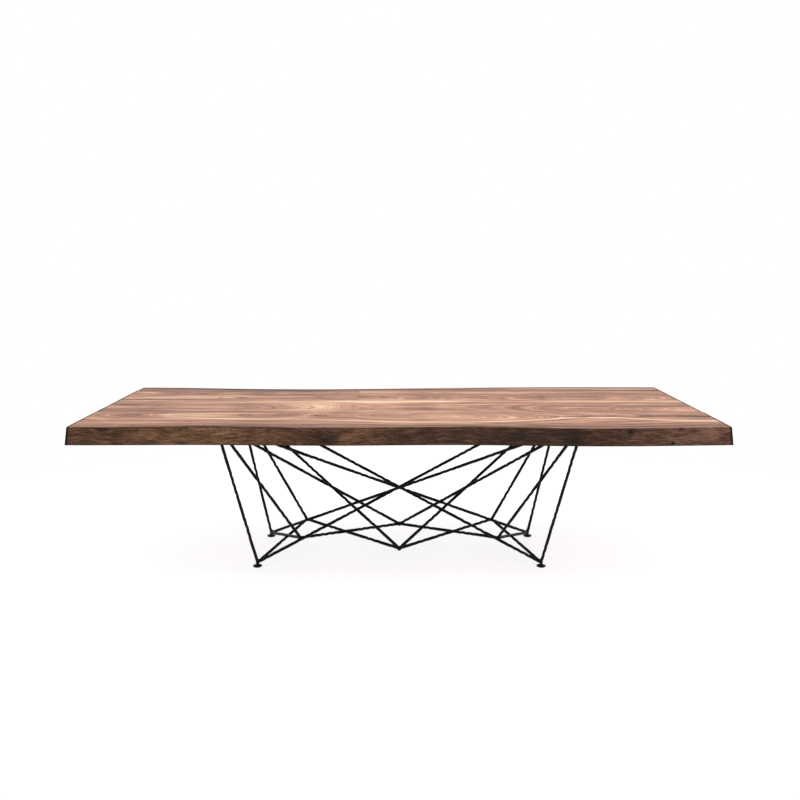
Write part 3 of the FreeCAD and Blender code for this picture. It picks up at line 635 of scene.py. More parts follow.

# Each board's grain, from the photograph. In metres: "heart" and "depth" say where the
# rings' heart lies, "streaks" are stops, width, amount and reach, "knots" are place and size,
# "swirls" and "clouds" are place, reach and amount. "ends" are how short the ends fall, in mm.
PLANKS = {
    "front_plank": {
        "ends": (0.0, 0.4), "seed": 3.0, "level": 0.55, "sway": 0.03,
        "heart": [(-1.5, -0.27), (-0.9, -0.265), (-0.4, -0.27), (0.1, -0.31), (0.56, -0.33),
                  (1.0, -0.29), (1.5, -0.31)],
        "depth": [(-1.5, 0.12), (-1.0, 0.05), (-0.6, 0.06), (-0.3, 0.11), (0.05, 0.07),
                  (0.35, 0.06), (0.6, 0.10), (1.0, 0.16), (1.5, 0.20)],
        "streaks": [
            ([(-1.5, -0.28), (-1.083, -0.327), (-0.665, -0.382), (-0.38, -0.396),
              (-0.095, -0.436), (0.19, -0.449), (0.475, -0.436), (0.665, -0.391),
              (0.836, -0.345), (0.95, -0.336), (1.102, -0.36), (1.235, -0.40),
              (1.482, -0.418)], 0.011, 0.40, (-1.15, 1.7)),
            ([(-1.5, -0.25), (-1.2, -0.273), (-0.92, -0.236), (-0.5, -0.23), (1.5, -0.23)],
             0.008, 0.16, (-1.25, -0.5)),
            ([(-1.5, -0.32), (0.8, -0.312), (0.99, -0.306), (1.5, -0.33)], 0.008, -0.50,
             (0.80, 1.05)),
            ([(-1.5, -0.25), (0.665, -0.25), (0.99, -0.253), (1.5, -0.26)], 0.006, 0.22,
             (0.66, 1.0)),
            ([(-1.5, -0.29), (1.1, -0.315), (1.25, -0.30), (1.5, -0.315)], 0.022, -0.36,
             (1.17, 1.7)),
            ([(-1.5, -0.449), (-1.0, -0.451), (1.5, -0.45)], 0.006, 0.20, (-1.7, -1.05))],
        "knots": [((-0.76, -0.273), 0.022), ((-0.40, -0.283), 0.026), ((0.03, -0.274), 0.018),
                  ((-1.26, -0.275), 0.016)],
        "swirls": [((0.34, -0.33), (0.22, 0.055), 0.022), ((-0.60, -0.275), (0.13, 0.03), 0.014)],
        "clouds": [((-0.2, -0.27), (0.5, 0.06), -0.05),
                   ((-0.97, -0.315), (0.17, 0.025), 0.13), ((-0.45, -0.26), (0.10, 0.02), 0.08),
                   ((-0.45, -0.43), (0.3, 0.014), 0.16),
                   ((0.45, -0.30), (0.25, 0.05), -0.07)]},
    "middle_plank": {
        "ends": (1.2, 5.0), "seed": 11.0, "level": 0.56, "sway": 0.03,
        "heart": [(-1.5, -0.05), (-1.0, -0.065), (-0.4, -0.065), (0.1, -0.04), (0.6, -0.085),
                  (1.0, -0.11), (1.5, -0.12)],
        "depth": [(-1.5, 0.03), (-1.1, 0.035), (-0.74, 0.06), (-0.58, 0.115), (-0.45, 0.155),
                  (-0.1, 0.22), (0.45, 0.21), (0.78, 0.155), (1.1, 0.12), (1.5, 0.09)],
        "streaks": [
            ([(-1.5, 0.068), (-0.9, 0.07), (-0.7, 0.09), (-0.45, 0.106), (0.3, 0.11),
              (0.6, 0.108), (1.5, 0.108)], 0.011, 0.13, (-1.7, 0.35)),
            ([(-1.5, 0.112), (1.5, 0.114)], 0.007, 0.14, (0.3, 1.7)),
            ([(-1.5, 0.11), (-0.4, 0.095), (0.0, 0.088), (1.5, 0.11)], 0.036, 0.16,
             (-0.45, 0.30)),
            ([(-1.5, 0.112), (-0.4, 0.12), (1.5, 0.12)], 0.006, -0.16, (-1.7, -0.42)),
            ([(-1.5, 0.055), (0.3, 0.055), (1.0, 0.052), (1.5, 0.055)], 0.006, -0.14,
             (0.25, 1.7)),
            ([(-1.5, 0.02), (0.3, 0.02), (1.5, 0.016)], 0.008, 0.13, (0.1, 1.7)),
            ([(-1.5, -0.01), (-0.3, -0.014), (0.4, -0.016), (1.5, -0.018)], 0.007, -0.12,
             (-0.3, 0.9)),
            ([(-1.5, -0.10), (-1.2, -0.112), (-0.95, -0.10), (1.5, -0.1)], 0.006, -0.26,
             (-1.33, -0.95)),
            ([(-1.5, -0.15), (-1.1, -0.143), (-0.7, -0.150), (-0.46, -0.135), (1.5, -0.13)],
             0.006, 0.24, (-1.2, -0.45)),
            ([(-1.5, -0.172), (-1.0, -0.178), (-0.6, -0.186), (-0.38, -0.172), (1.5, -0.17)],
             0.006, -0.32, (-1.7, -0.42)),
            ([(-1.5, -0.088), (0.78, -0.086), (1.14, -0.04), (1.5, -0.02)], 0.007, 0.20,
             (0.8, 1.7)),
            ([(-1.5, -0.09), (0.80, -0.10), (0.92, -0.15), (1.14, -0.19), (1.5, -0.20)], 0.007,
             0.20, (0.85, 1.4))],
        "knots": [((-0.19, -0.09), 0.020), ((0.13, -0.075), 0.010), ((-0.56, -0.035), 0.022),
                  ((-1.24, -0.03), 0.012)],
        "clouds": [((-1.40, 0.0), (0.10, 0.035), -0.16), ((-0.42, -0.04), (0.09, 0.05), 0.09),
                   ((-1.30, -0.06), (0.2, 0.06), -0.08), ((0.9, -0.08), (0.12, 0.02), 0.09),
                   ((0.1, -0.12), (0.5, 0.06), -0.05), ((1.35, -0.095), (0.16, 0.04), -0.12),
                   ((1.25, 0.0), (0.3, 0.025), 0.10), ((-0.05, 0.138), (0.6, 0.012), -0.10)]},
    "rear_left_plank": {
        "ends": (0.4, 9.0), "seed": 19.0, "level": 0.43, "sway": 0.03,
        "heart": [(-1.5, 0.36), (-1.0, 0.35), (-0.5, 0.37), (0.0, 0.35), (1.5, 0.35)],
        "depth": [(-1.5, 0.13), (-1.1, 0.15), (-0.7, 0.16), (-0.3, 0.155), (1.5, 0.10)],
        "rose": srgb(205, 180, 178),
        "streaks": [
            ([(-1.5, 0.276), (-0.8, 0.278), (-0.2, 0.28), (1.5, 0.28)], 0.010, 0.34,
             (-1.7, -0.5)),
            ([(-1.5, 0.21), (-0.7, 0.205), (-0.2, 0.21), (1.5, 0.2)], 0.05, 0.09,
             (-1.7, -0.45)),
            ([(-1.5, 0.42), (-0.6, 0.435), (1.5, 0.43)], 0.012, -0.10, (-1.2, -0.1)),
            ([(-1.5, 0.315), (-0.6, 0.32), (1.5, 0.32)], 0.010, -0.10, (-1.3, -0.1))],
        "knots": [((-0.97, 0.236), 0.014), ((-0.855, 0.236), 0.018), ((-0.437, 0.2545), 0.014)],
        "clouds": [((-1.39, 0.40), (0.06, 0.03), 0.15), ((-0.9, 0.37), (0.6, 0.07), -0.06),
                   ((-0.33, 0.38), (0.16, 0.1), 0.13)]},
    "rear_right_plank": {
        "ends": (9.0, 6.5), "seed": 29.0, "level": 0.50, "sway": 0.03,
        "heart": [(-1.5, 0.22), (0.0, 0.23), (0.5, 0.22), (0.98, 0.212), (1.2, 0.215),
                  (1.5, 0.23)],
        "depth": [(-1.5, 0.15), (-0.2, 0.12), (0.2, 0.15), (0.6, 0.13), (0.98, 0.09),
                  (1.25, 0.12), (1.5, 0.16)],
        "streaks": [
            ([(-1.5, 0.44), (-0.1, 0.442), (0.15, 0.45), (1.5, 0.45)], 0.008, 0.26,
             (-0.4, 0.05)),
            ([(-1.5, 0.39), (-0.1, 0.392), (0.1, 0.38), (1.5, 0.38)], 0.008, 0.24, (-0.4, 0.02)),
            ([(-1.5, 0.31), (0.3, 0.315), (0.9, 0.31), (1.5, 0.32)], 0.012, -0.09, (-0.1, 1.6)),
            ([(-1.5, 0.165), (0.3, 0.17), (1.0, 0.163), (1.5, 0.17)], 0.007, 0.14,
             (-0.3, 1.6))],
        "knots": [((0.038, 0.222), 0.018), ((0.20, 0.2145), 0.024), ((0.323, 0.2145), 0.018),
                  ((0.418, 0.209), 0.014), ((0.836, 0.373), 0.016), ((0.988, 0.382), 0.014),
                  ((1.31, 0.185), 0.018)],
        "swirls": [((0.98, 0.213), (0.19, 0.036), 0.034), ((-0.133, 0.415), (0.07, 0.03), 0.022),
                   ((0.56, 0.21), (0.04, 0.03), 0.012)],
        "clouds": [((0.20, 0.382), (0.03, 0.02), 0.16), ((1.17, 0.215), (0.04, 0.025), 0.16),
                   ((-0.14, 0.215), (0.13, 0.035), 0.20), ((0.86, 0.205), (0.22, 0.035), 0.10)]},
}
EDGE_BOARDS = {
    "front_edge_board": {
        "ends": (0.0, 0.8), "seed": 41.0, "level": 0.46, "sway": 0.01, "brim": (0.7478, 0.7492),
        "rim": [(-1.5, 0.15), (1.5, 0.15)], "rim_width": 0.02,
        "depth": [(-1.5, 0.10), (-0.6, 0.08), (0.2, 0.11), (0.9, 0.07), (1.5, 0.10)],
        "rose": srgb(218, 176, 170),
        "streaks": [
            ([(-1.5, -0.49), (-0.2, -0.476), (0.2, -0.476), (1.5, -0.49)], 0.007, 0.18,
             (-0.4, 0.5)),
            ([(-1.5, -0.53), (-0.2, -0.52), (0.6, -0.545), (1.5, -0.53)], 0.012, -0.10,
             (-1.7, 1.7))],
        "edge_level": [(-1.5, 0.08), (-1.3, 0.05), (-1.1, 0.12), (-0.85, 0.18), (-0.55, 0.12),
                       (-0.40, 0.0), (-0.33, -0.02), (-0.22, 0.08), (0.0, 0.04), (0.2, -0.06),
                       (0.45, -0.16), (0.75, -0.14), (0.95, -0.02), (1.15, 0.18), (1.3, 0.26),
                       (1.5, 0.26)],
        "grey": [(-1.5, 0.3), (-1.2, 0.0), (0.1, 0.0), (0.6, 0.35), (1.0, 0.45), (1.2, 0.8),
                 (1.5, 0.9)],
        "side": -1,
        "edge_knots": [(1.033, 0.733, 0.010), (1.222, 0.682, 0.007), (-0.335, 0.694, 0.008)],
        "edge_clouds": [
            ((-1.34, 0.742), (0.02, 0.012), -0.28), ((-1.27, 0.717), (0.035, 0.018), -0.18),
            ((-1.17, 0.712), (0.05, 0.018), 0.16), ((-0.86, 0.725), (0.08, 0.02), 0.10),
            ((-0.59, 0.735), (0.012, 0.018), -0.22), ((-0.375, 0.70), (0.028, 0.025), -0.20),
            ((-0.29, 0.705), (0.018, 0.025), -0.18), ((-0.215, 0.705), (0.05, 0.02), 0.24),
            ((0.03, 0.70), (0.045, 0.035), -0.22), ((0.40, 0.725), (0.02, 0.02), 0.16),
            ((0.52, 0.71), (0.04, 0.02), -0.22), ((0.785, 0.715), (0.03, 0.05), -0.34),
            ((1.262, 0.744), (0.008, 0.006), -0.4), ((1.39, 0.72), (0.06, 0.022), 0.28),
            ((1.46, 0.70), (0.03, 0.03), -0.10)]},
    "rear_edge_board": {
        "ends": (6.0, 9.0), "seed": 53.0, "level": 0.47, "sway": 0.01, "brim": (0.7488, 0.7497),
        # Stronger at the rear, where the rim is partly painted shade on the brim
        "rim": [(-1.5, 0.8), (-0.7, 0.8), (-0.25, 0.45), (0.25, 0.45), (0.6, 1.0), (1.5, 1.0)],
        "rim_width": 0.055,
        "depth": [(-1.5, 0.08), (-0.5, 0.11), (0.4, 0.07), (1.5, 0.10)],
        "streaks": [
            ([(-1.5, 0.53), (-0.3, 0.53), (0.8, 0.524), (1.5, 0.522)], 0.010, 0.34,
             (0.2, 1.7)),
            ([(-1.5, 0.487), (0.3, 0.488), (1.5, 0.486)], 0.010, -0.32, (0.25, 1.7))],
        "clouds": [((-1.0, 0.53), (0.7, 0.2), -0.12)],
        "edge_level": [(-1.5, 0.02), (-1.0, -0.08), (-0.5, 0.08), (0.0, 0.14), (0.4, 0.02),
                       (0.9, -0.10), (1.5, 0.05)],
        "grey": [(-1.5, 0.2), (-0.6, 0.0), (0.6, 0.3), (1.5, 0.4)],
        "side": 1,
        "edge_knots": [(-0.82, 0.715, 0.010), (0.55, 0.70, 0.012), (1.1, 0.73, 0.007)],
        "edge_clouds": [
            ((-1.2, 0.70), (0.06, 0.03), -0.2), ((-0.3, 0.71), (0.10, 0.02), 0.18),
            ((0.2, 0.705), (0.03, 0.03), -0.25), ((0.85, 0.72), (0.07, 0.025), 0.2),
            ((1.32, 0.70), (0.04, 0.03), -0.22)]},
}

ARRIS = 0.55 * MM
ARC_STEPS = 4
# Points this far from an edge keep the faces beside its arris flat
NEAR = 2.5 * ARRIS
BOARD_STEP = 0.2
# The rounding of a sawn end: how far in along the board, and how far the outline draws in
END_ARRIS = ((0, 2.2 * MM), (0.6 * MM, 0.9 * MM), (1.3 * MM, 0.25 * MM), (2.2 * MM, 0),
             (5 * MM, 0))
# The butt joint's edges are this many times sharper
BUTT_SHARPNESS = 6


def end_x(sign, z, offset=0.0):
    """A sawn end leans out downward, and falls short of the table's end by an offset in mm."""
    lean = END_SLOPE * (z - EDGE_UNDER) / (TOP - EDGE_UNDER)
    return sign * (HALF_LENGTH - lean - offset * MM)


def sawn_end(sign, spec):
    offset = spec["ends"][sign > 0]
    return lambda z: end_x(sign, z, offset)


def arc(centre_y, centre_z, start):
    angles = (QUARTER_TURN * step / ARC_STEPS for step in range(ARC_STEPS + 1))
    return [(centre_y + ARRIS * math.cos(start + angle), centre_z + ARRIS * math.sin(start + angle))
            for angle in angles]


def board_section(y0, y1, z0, z1):
    """A rectangle with rounded arrises."""
    return (arc(y1 - ARRIS, z0 + ARRIS, -QUARTER_TURN) + [(y1, z0 + NEAR), (y1, z1 - NEAR)]
            + arc(y1 - ARRIS, z1 - ARRIS, 0) + [(y1 - NEAR, z1), (y0 + NEAR, z1)]
            + arc(y0 + ARRIS, z1 - ARRIS, QUARTER_TURN) + [(y0, z1 - NEAR), (y0, z0 + NEAR)]
            + arc(y0 + ARRIS, z0 + ARRIS, 2 * QUARTER_TURN) + [(y0 + NEAR, z0), (y1 - NEAR, z0)])


def inset(section, amount):
    """The section drawn in on every side, for the arris of a sawn end."""
    sides = [(min(values), max(values)) for values in zip(*section)]
    shares = [1 - 2 * amount / (high - low) for low, high in sides]
    centres = [(low + high) / 2 for low, high in sides]
    return [tuple(centre + (value - centre) * share
                  for value, centre, share in zip(point, centres, shares)) for point in section]


def board_rings(section_at, left_at, right_at, step=BOARD_STEP, sharpness=(1, 1)):
    """Rings of a board from its left end to its right one; the ends give X from Z."""
    left, right = left_at(TOP), right_at(TOP)
    arrises = [[(distance / share, amount / share) for distance, amount in END_ARRIS]
               for share in sharpness]
    rings = []
    for distance, amount in arrises[0]:
        rings.append([Vector((left_at(z) + distance, y, z))
                      for y, z in inset(section_at(left + distance), amount)])
    count = max(1, round((right - left) / step))
    for index in range(1, count):
        x = left + (right - left) * index / count
        rings.append([Vector((x, y, z)) for y, z in section_at(x)])
    for distance, amount in reversed(arrises[1]):
        rings.append([Vector((right_at(z) - distance, y, z))
                      for y, z in inset(section_at(right - distance), amount)])
    return rings


def build_planks(finishes):
    for name, spec in PLANKS.items():
        low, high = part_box(name)
        section = board_section(low.y, high.y, low.z, high.z)
        ends, sharpness = [], []
        for sign, x in ((-1, low.x), (1, high.x)):
            sawn = abs(x) > HALF_LENGTH / 2
            ends.append(sawn_end(sign, spec) if sawn else lambda z: BUTT)
            sharpness.append(1 if sawn else BUTT_SHARPNESS)
        shell = Shell()
        shell.tube(board_rings(lambda x: section, *ends, sharpness=sharpness))
        shell.piece(name.replace("plank", "board"), "table", "walnut_plank",
                    [finishes[name]], [name])


def build_end_blocks(finishes):
    """Each block in three lengths, so that the grain of every plank runs through its end."""
    for side, sign in SIDES.items():
        low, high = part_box(f"{side}_end_block")
        names = ["front_plank", "middle_plank", f"rear_{side}_plank"]
        shell = Shell()
        for mark, (name, y0, y1) in enumerate(zip(names, JOINTS, JOINTS[1:])):
            section = board_section(y0, y1, low.z, high.z)
            ends = [sawn_end(sign, PLANKS[name]), lambda z: sign * BLOCK_INNER]
            shell.tube(board_rings(lambda x: section, *ends[::-sign]), mark)
        shell.piece(f"{side}_end_thickness", "table", "walnut_end_block",
                    [finishes[name] for name in names], [f"{side}_end_block"])


# Live edges: rays find the CAD board's outline, and small ripples go over it

EDGE_STEP = 6 * MM
EDGE_ROWS = 22
RAY_START = 0.8
RAY_INSET = 0.6 * MM
# The face is rounded to the top over the shoulder, and to the underside over the foot
SHOULDER = 9 * MM
SHOULDER_STEPS = 8
FOOT_ROUND = 2.5 * MM
RIPPLE, FINE_RIPPLE, KNOT_DENT = 1.3 * MM, 0.35 * MM, 2.2 * MM
HEART_STEPS = 12
HEART_REACH = 1.49


def surface_of(node):
    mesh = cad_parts[node].data
    return BVHTree.FromPolygons([v.co for v in mesh.vertices],
                                [tuple(p.vertices) for p in mesh.polygons])


def edge_hit(tree, sign, x, z):
    """Where a ray from outside first meets the board's natural edge."""
    return tree.ray_cast(Vector((x, sign * RAY_START, z)), Vector((0, -sign, 0)))[0]


def edge_ripple(x, z, spec):
    """How far the weathered face lies inside the CAD outline, deeper at its knots."""
    coarse = noise.noise(Vector((x * 16, z * 90, spec["seed"])))
    fine = noise.noise(Vector((x * 60, z * 300, spec["seed"] + 4)))
    depth = RIPPLE * (0.5 + 0.5 * coarse) + FINE_RIPPLE * fine
    for knot_x, knot_z, size in spec["edge_knots"]:
        away = ((x - knot_x) / (1.2 * size)) ** 2 + ((z - knot_z) / (0.8 * size)) ** 2
        depth += KNOT_DENT * math.exp(-away * 1.6)
    return depth


def live_edge_section(tree, sign, inner_y, spec):
    """Gives the board's section at any X: its natural edge outside, a square joint inside."""
    shoulder = TOP - SHOULDER
    shoulder_turn = [QUARTER_TURN * step / SHOULDER_STEPS for step in range(1, SHOULDER_STEPS + 1)]
    small_turn = [QUARTER_TURN * step / ARC_STEPS for step in range(ARC_STEPS + 1)]

    def outer(x, z):
        end = end_x(1, z)
        x = max(-1, min(1, x / end)) * (end - RAY_INSET)
        return abs(edge_hit(tree, sign, x, z).y)

    def section(x):
        under = outer(x, EDGE_UNDER + 0.2 * MM)
        brow = outer(x, shoulder)
        brim = outer(x, TOP - 0.1 * MM)
        inner_foot = under - edge_ripple(x, EDGE_UNDER, spec) - FOOT_ROUND
        low_turn = [(sign * (inner_foot + FOOT_ROUND * math.sin(angle)),
                     EDGE_UNDER + FOOT_ROUND * (1 - math.cos(angle))) for angle in small_turn[:-1]]
        face_low = EDGE_UNDER + FOOT_ROUND
        heights = [face_low + (shoulder - face_low) * row / EDGE_ROWS
                   for row in range(EDGE_ROWS + 1)]
        face = [(sign * (outer(x, z) - edge_ripple(x, z, spec)), z) for z in heights]
        hollow = brow - brim - edge_ripple(x, shoulder, spec)
        turn = [(sign * (brim + hollow * math.cos(angle)), shoulder + SHOULDER * math.sin(angle))
                for angle in shoulder_turn]
        flat = [(inner_y + (sign * (brim - 3 * MM) - inner_y) * share, TOP)
                for share in (1, 0.66, 0.33)]
        flat.append((inner_y + sign * NEAR, TOP))
        joint = [(inner_y + sign * ARRIS * (1 - math.sin(angle)),
                  TOP - ARRIS * (1 - math.cos(angle))) for angle in small_turn]
        foot = [(inner_y, TOP - NEAR), (inner_y, EDGE_UNDER + NEAR),
                (inner_y, EDGE_UNDER + ARRIS),
                (inner_y + sign * 0.3 * ARRIS, EDGE_UNDER + 0.3 * ARRIS),
                (inner_y + sign * ARRIS, EDGE_UNDER), (inner_y + sign * NEAR, EDGE_UNDER),
                (sign * (under - 4 * FOOT_ROUND), EDGE_UNDER)]
        return low_turn + face + turn + flat + joint + foot

    return section


def edge_heart(tree, sign):
    """Rings follow the outline of the natural edge, from a heart well inside the table."""
    stops = []
    for step in range(HEART_STEPS + 1):
        x = -HEART_REACH + 2 * HEART_REACH * step / HEART_STEPS
        stops.append((x, edge_hit(tree, sign, x, TOP - 12 * MM).y - sign * EDGE_TO_HEART))
    return stops


def build_edge_boards():
    for name, spec in EDGE_BOARDS.items():
        sign = spec["side"]
        tree = surface_of(name)
        spec["heart"] = edge_heart(tree, sign)
        section = live_edge_section(tree, sign, JOINTS[0] if sign < 0 else JOINTS[-1], spec)
        shell = Shell()
        shell.tube(board_rings(section, sawn_end(-1, spec), sawn_end(1, spec), EDGE_STEP))
        shell.piece(name.replace("edge_board", "live_edge"), "table", "walnut_live_edge",
                    [live_edge_finish(name, spec)], [name])


def build_top():
    finishes = {name: board_finish(name, spec) for name, spec in PLANKS.items()}
    build_planks(finishes)
    build_end_blocks(finishes)
    build_edge_boards()


# Feet, by profiles of radius and height in mm

PAD_PROFILE = [(0.2, 1.5), (16, 1.5), (20.6, 1.5), (21.6, 1.7), (22.3, 2.3), (22.5, 3.0),
               (22.5, 4.7), (22.2, 5.4), (21.4, 5.9), (19.6, 6.7), (17.2, 7.9), (14.8, 9.1),
               (13.4, 9.7), (12.2, 9.95), (11.0, 10.0), (7.4, 10.0), (6.9, 9.9), (6.6, 9.5),
               (6.5, 9.0), (0.2, 9.0)]
GLIDE_PROFILE = [(0.2, 0.0), (18.6, 0.0), (19.4, 0.1), (19.9, 0.5), (20.0, 0.9), (20.0, 1.5),
                 (0.2, 1.5)]
PAD_AROUND = 64
# The boss from its bore's blind end down, out and up again; heights from its top and underside
BORE_PROFILE = [(0.2, -2.6), (4.15, -2.6)]
BOSS_LOW_PROFILE = [(4.15, 0.8), (4.8, 0.1), (7.2, 0.1), (7.8, 0.35), (8, 0.9)]
BOSS_HIGH_PROFILE = [(8, -1.6), (7.5, -0.6), (6.4, -0.1), (0.2, 0)]
BOSS_AROUND = 40
HEX_ACROSS = 13.0
HEX_HEIGHTS = (10.3, 13.2)
HEX_CHAMFER_RADIUS = 6.75
HEX_CHAMFER_SLOPE = 1.6
THREAD_RADIUS = 4.0
THREAD_DEPTH = 0.6
THREAD_PITCH = 1.25
STEM_LOW, STEM_HIGH = 5.2, 29.6
STEM_AROUND = 36


def in_mm(profile, base=0.0):
    """A profile in metres, with its heights counted from a base."""
    return [(radius * MM, base + height * MM) for radius, height in profile]


def stem_radius(radius, height, turn):
    """An M8 thread, with a hexagon for the spanner."""
    z = height / MM
    low, high = HEX_HEIGHTS
    if low <= z <= high:
        flat = (turn + math.pi / 6) % (math.pi / 3) - math.pi / 6
        chamfer = HEX_CHAMFER_RADIUS + min(z - low, high - z) * HEX_CHAMFER_SLOPE
        return min(HEX_ACROSS / 2 / math.cos(flat), chamfer) * MM
    if z < low:
        return radius
    phase = (z / THREAD_PITCH - turn / FULL_TURN) % 1
    return radius - THREAD_DEPTH * abs(2 * phase - 1) * MM


def stem_profile():
    low, high = HEX_HEIGHTS
    heights = [STEM_LOW, low - 0.01, low, low + 0.3, low + 0.6, high - 0.6, high - 0.3, high,
               high + 0.01]
    while heights[-1] < STEM_HIGH:
        heights.append(heights[-1] + THREAD_PITCH / 6)
    return [(THREAD_RADIUS, height) for height in heights]


def build_foot(corner):
    centre = middle_of(f"foot_pad_{corner}")
    low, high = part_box(f"foot_boss_{corner}")
    boss = (in_mm(BORE_PROFILE, high.z) + in_mm(BOSS_LOW_PROFILE, low.z)
            + in_mm(BOSS_HIGH_PROFILE, high.z))

    def turned(name, node, body, slot, material, profile, around, radius_at=None):
        shell = Shell()
        shell.lathe(profile, centre, around, radius_at)
        shell.piece(f"{name}_{corner}", body, slot, [material], [f"{node}_{corner}"])

    turned("domed_pad", "foot_pad", f"pad_{corner}", "black_foot", foot_coat,
           in_mm(PAD_PROFILE), PAD_AROUND)
    turned("glide_disc", "foot_glide", f"pad_{corner}", "glide_plastic", glide_polyamide,
           in_mm(GLIDE_PROFILE), PAD_AROUND)
    turned("threaded_stem", "foot_stem", f"stem_{corner}", "zinc_steel", dark_zinc,
           in_mm(stem_profile()), STEM_AROUND, stem_radius)
    turned("welded_boss", "foot_boss", "table", "forged_iron", iron, boss, BOSS_AROUND)


# Screws and the carried-over nodes

# A domed head, from its recess out and down, then in to the shank
HEAD_PROFILE = [(0.1, 1.5), (2.35, 1.5), (2.5, 0.1), (3.0, 0.0), (4.2, 0.25), (5.0, 0.8),
                (5.4, 1.5), (5.5, 2.2), (5.45, 2.8), (5.2, 3.0), (2.2, 3.0)]
TIP_PROFILE = [(2.2, -3), (0.3, 0)]
SCREW_AROUND = 36
LOBES = 6
LOBE_DEPTH = 0.16
LOBE_RADII = (0.5 * MM, 2.9 * MM)


def islands(node):
    """The box of each separate solid of a node."""
    work = bmesh.new()
    work.from_mesh(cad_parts[node].data)
    bmesh.ops.remove_doubles(work, verts=work.verts, dist=0.001 * MM)
    seen, found = set(), []
    for vertex in work.verts:
        if vertex in seen:
            continue
        stack, group = [vertex], []
        seen.add(vertex)
        while stack:
            one = stack.pop()
            group.append(one.co.copy())
            for edge in one.link_edges:
                other = edge.other_vert(one)
                if other not in seen:
                    seen.add(other)
                    stack.append(other)
        found.append([Vector([pick(values) for values in zip(*group)]) for pick in (min, max)])
    work.free()
    return found


def lobed_radius(radius, height, turn):
    """The recess has six lobes, and so has the hidden shank; the head's rim is round."""
    if LOBE_RADII[0] <= radius <= LOBE_RADII[1]:
        return radius * (1 + LOBE_DEPTH * math.cos(LOBES * turn))
    return radius


def build_screws(node, name):
    shell = Shell()
    for low, high in islands(node):
        shell.lathe(in_mm(HEAD_PROFILE, low.z) + in_mm(TIP_PROFILE, high.z), (low + high) / 2,
                    SCREW_AROUND, lobed_radius)
    shell.piece(name, "table", "zinc_steel", [zinc], [node])


def dress(node, material, edge_width=0.0):
    """A carried-over node gets a finish, and may get a small bevel on its sharp edges."""
    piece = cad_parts[node]
    piece.data.materials.clear()
    piece.data.materials.append(material)
    if edge_width:
        bevel = piece.modifiers.new("soft_edges", "BEVEL")
        bevel.width = edge_width
        bevel.segments = 2
        bevel.limit_method = "ANGLE"
        bevel.angle_limit = math.radians(50)
        bevel.harden_normals = True


def dress_carried_nodes():
    for end, side in CORNERS:
        dress(f"mount_plate_{end}_{side}", plate_coat, 0.5 * MM)
    for name in ("left", "middle", "right"):
        dress(f"{name}_cross_batten", batten_walnut, 0.8 * MM)
    for name in ("joint_splines", "butt_dowels"):
        dress(name, beech)


# Base: where its rods meet

ROD_RADIUS = 6 * MM
PLATE_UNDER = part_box("mount_plate_front_left")[0].z
BOSS_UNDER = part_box("foot_boss_front_left")[0].z
FOOT_HEIGHT = BOSS_UNDER + 4.1 * MM
TOP_HEIGHT = PLATE_UNDER + 1.8 * MM
LOW_POINT = (0.1917, 0.0777)
# The inner meeting point lies beside a diagonal rod, inward and upward, as in the CAD model
INNER_SHARE = 0.1276
INNER_INSET = 0.71 * 2 * ROD_RADIUS
INNER_LIFT = 0.58 * 2 * ROD_RADIUS

points = {}
for end, side in CORNERS:
    foot = middle_of(f"foot_boss_{end}_{side}")
    top = middle_of(f"mount_plate_{end}_{side}")
    points["foot", end, side] = Vector((foot.x, foot.y, FOOT_HEIGHT))
    points["top", end, side] = Vector((top.x, top.y, TOP_HEIGHT))
for end, side in CORNERS:
    foot, far_top = points["foot", end, side], points["top", ACROSS[end], ACROSS[side]]
    points["inner", end, side] = (foot.lerp(far_top, INNER_SHARE)
                                  + Vector((0, -ENDS[end] * INNER_INSET, INNER_LIFT)))
for end in ENDS:
    points["low", end] = Vector((0, ENDS[end] * LOW_POINT[0], LOW_POINT[1]))

rod_runs = {}
for end, side in CORNERS:
    corner, far = f"{end}_{side}", ACROSS[end]
    rod_runs[f"leg_{corner}"] = ("foot", end, side), ("top", end, side)
    rod_runs[f"diagonal_{corner}"] = ("foot", end, side), ("top", far, ACROSS[side])
    rod_runs[f"strut_{corner}"] = ("inner", end, side), ("top", end, side)
    rod_runs[f"brace_{corner}"] = ("low", far), ("top", end, side)
    rod_runs[f"tie_{corner}"] = ("foot", end, side), ("inner", far, side)
    rod_runs[f"low_rod_{corner}"] = ("inner", end, side), ("low", far)


# Hammered rods

ROD_AROUND = 14
RING_STEP = 4 * MM
ROD_SWELL = 1.65 * MM
ROD_WANDER = 0.9 * MM
ROD_GRIT = 0.25 * MM
# The blows: their spacing, length and depth, and the turn round the bar from one to the next;
# then how much spacing, depth and turn vary
HIT_STEP = 19 * MM
HIT_LENGTH = 11 * MM
HIT_DEPTH = 2.2 * MM
HIT_TURN = math.radians(166)
STEP_SPREAD, DEPTH_SPREAD, TURN_SPREAD = 0.35, 0.5, 0.9
# How far along the bar, in lengths of a blow, one is still reckoned with
BLOW_REACH = 3


def rod_frame(start, stop):
    along = (stop - start).normalized()
    aside = along.orthogonal().normalized()
    return along, aside, along.cross(aside)


def hammer_blows(length, seed):
    """Place, direction and depth of each blow, on alternate sides of the bar."""
    blows = []
    place, angle = HIT_STEP / 2, seed * 1.7
    while place < length:
        wobble = noise.noise(Vector((seed * 3.1, place * 40, 0)))
        blows.append((place, angle, HIT_DEPTH * (1 + DEPTH_SPREAD * wobble)))
        uneven = noise.noise(Vector((place * 60, seed * 5.3, 7)))
        place += HIT_STEP * (1 + STEP_SPREAD * uneven)
        angle += HIT_TURN + TURN_SPREAD * wobble
    return blows


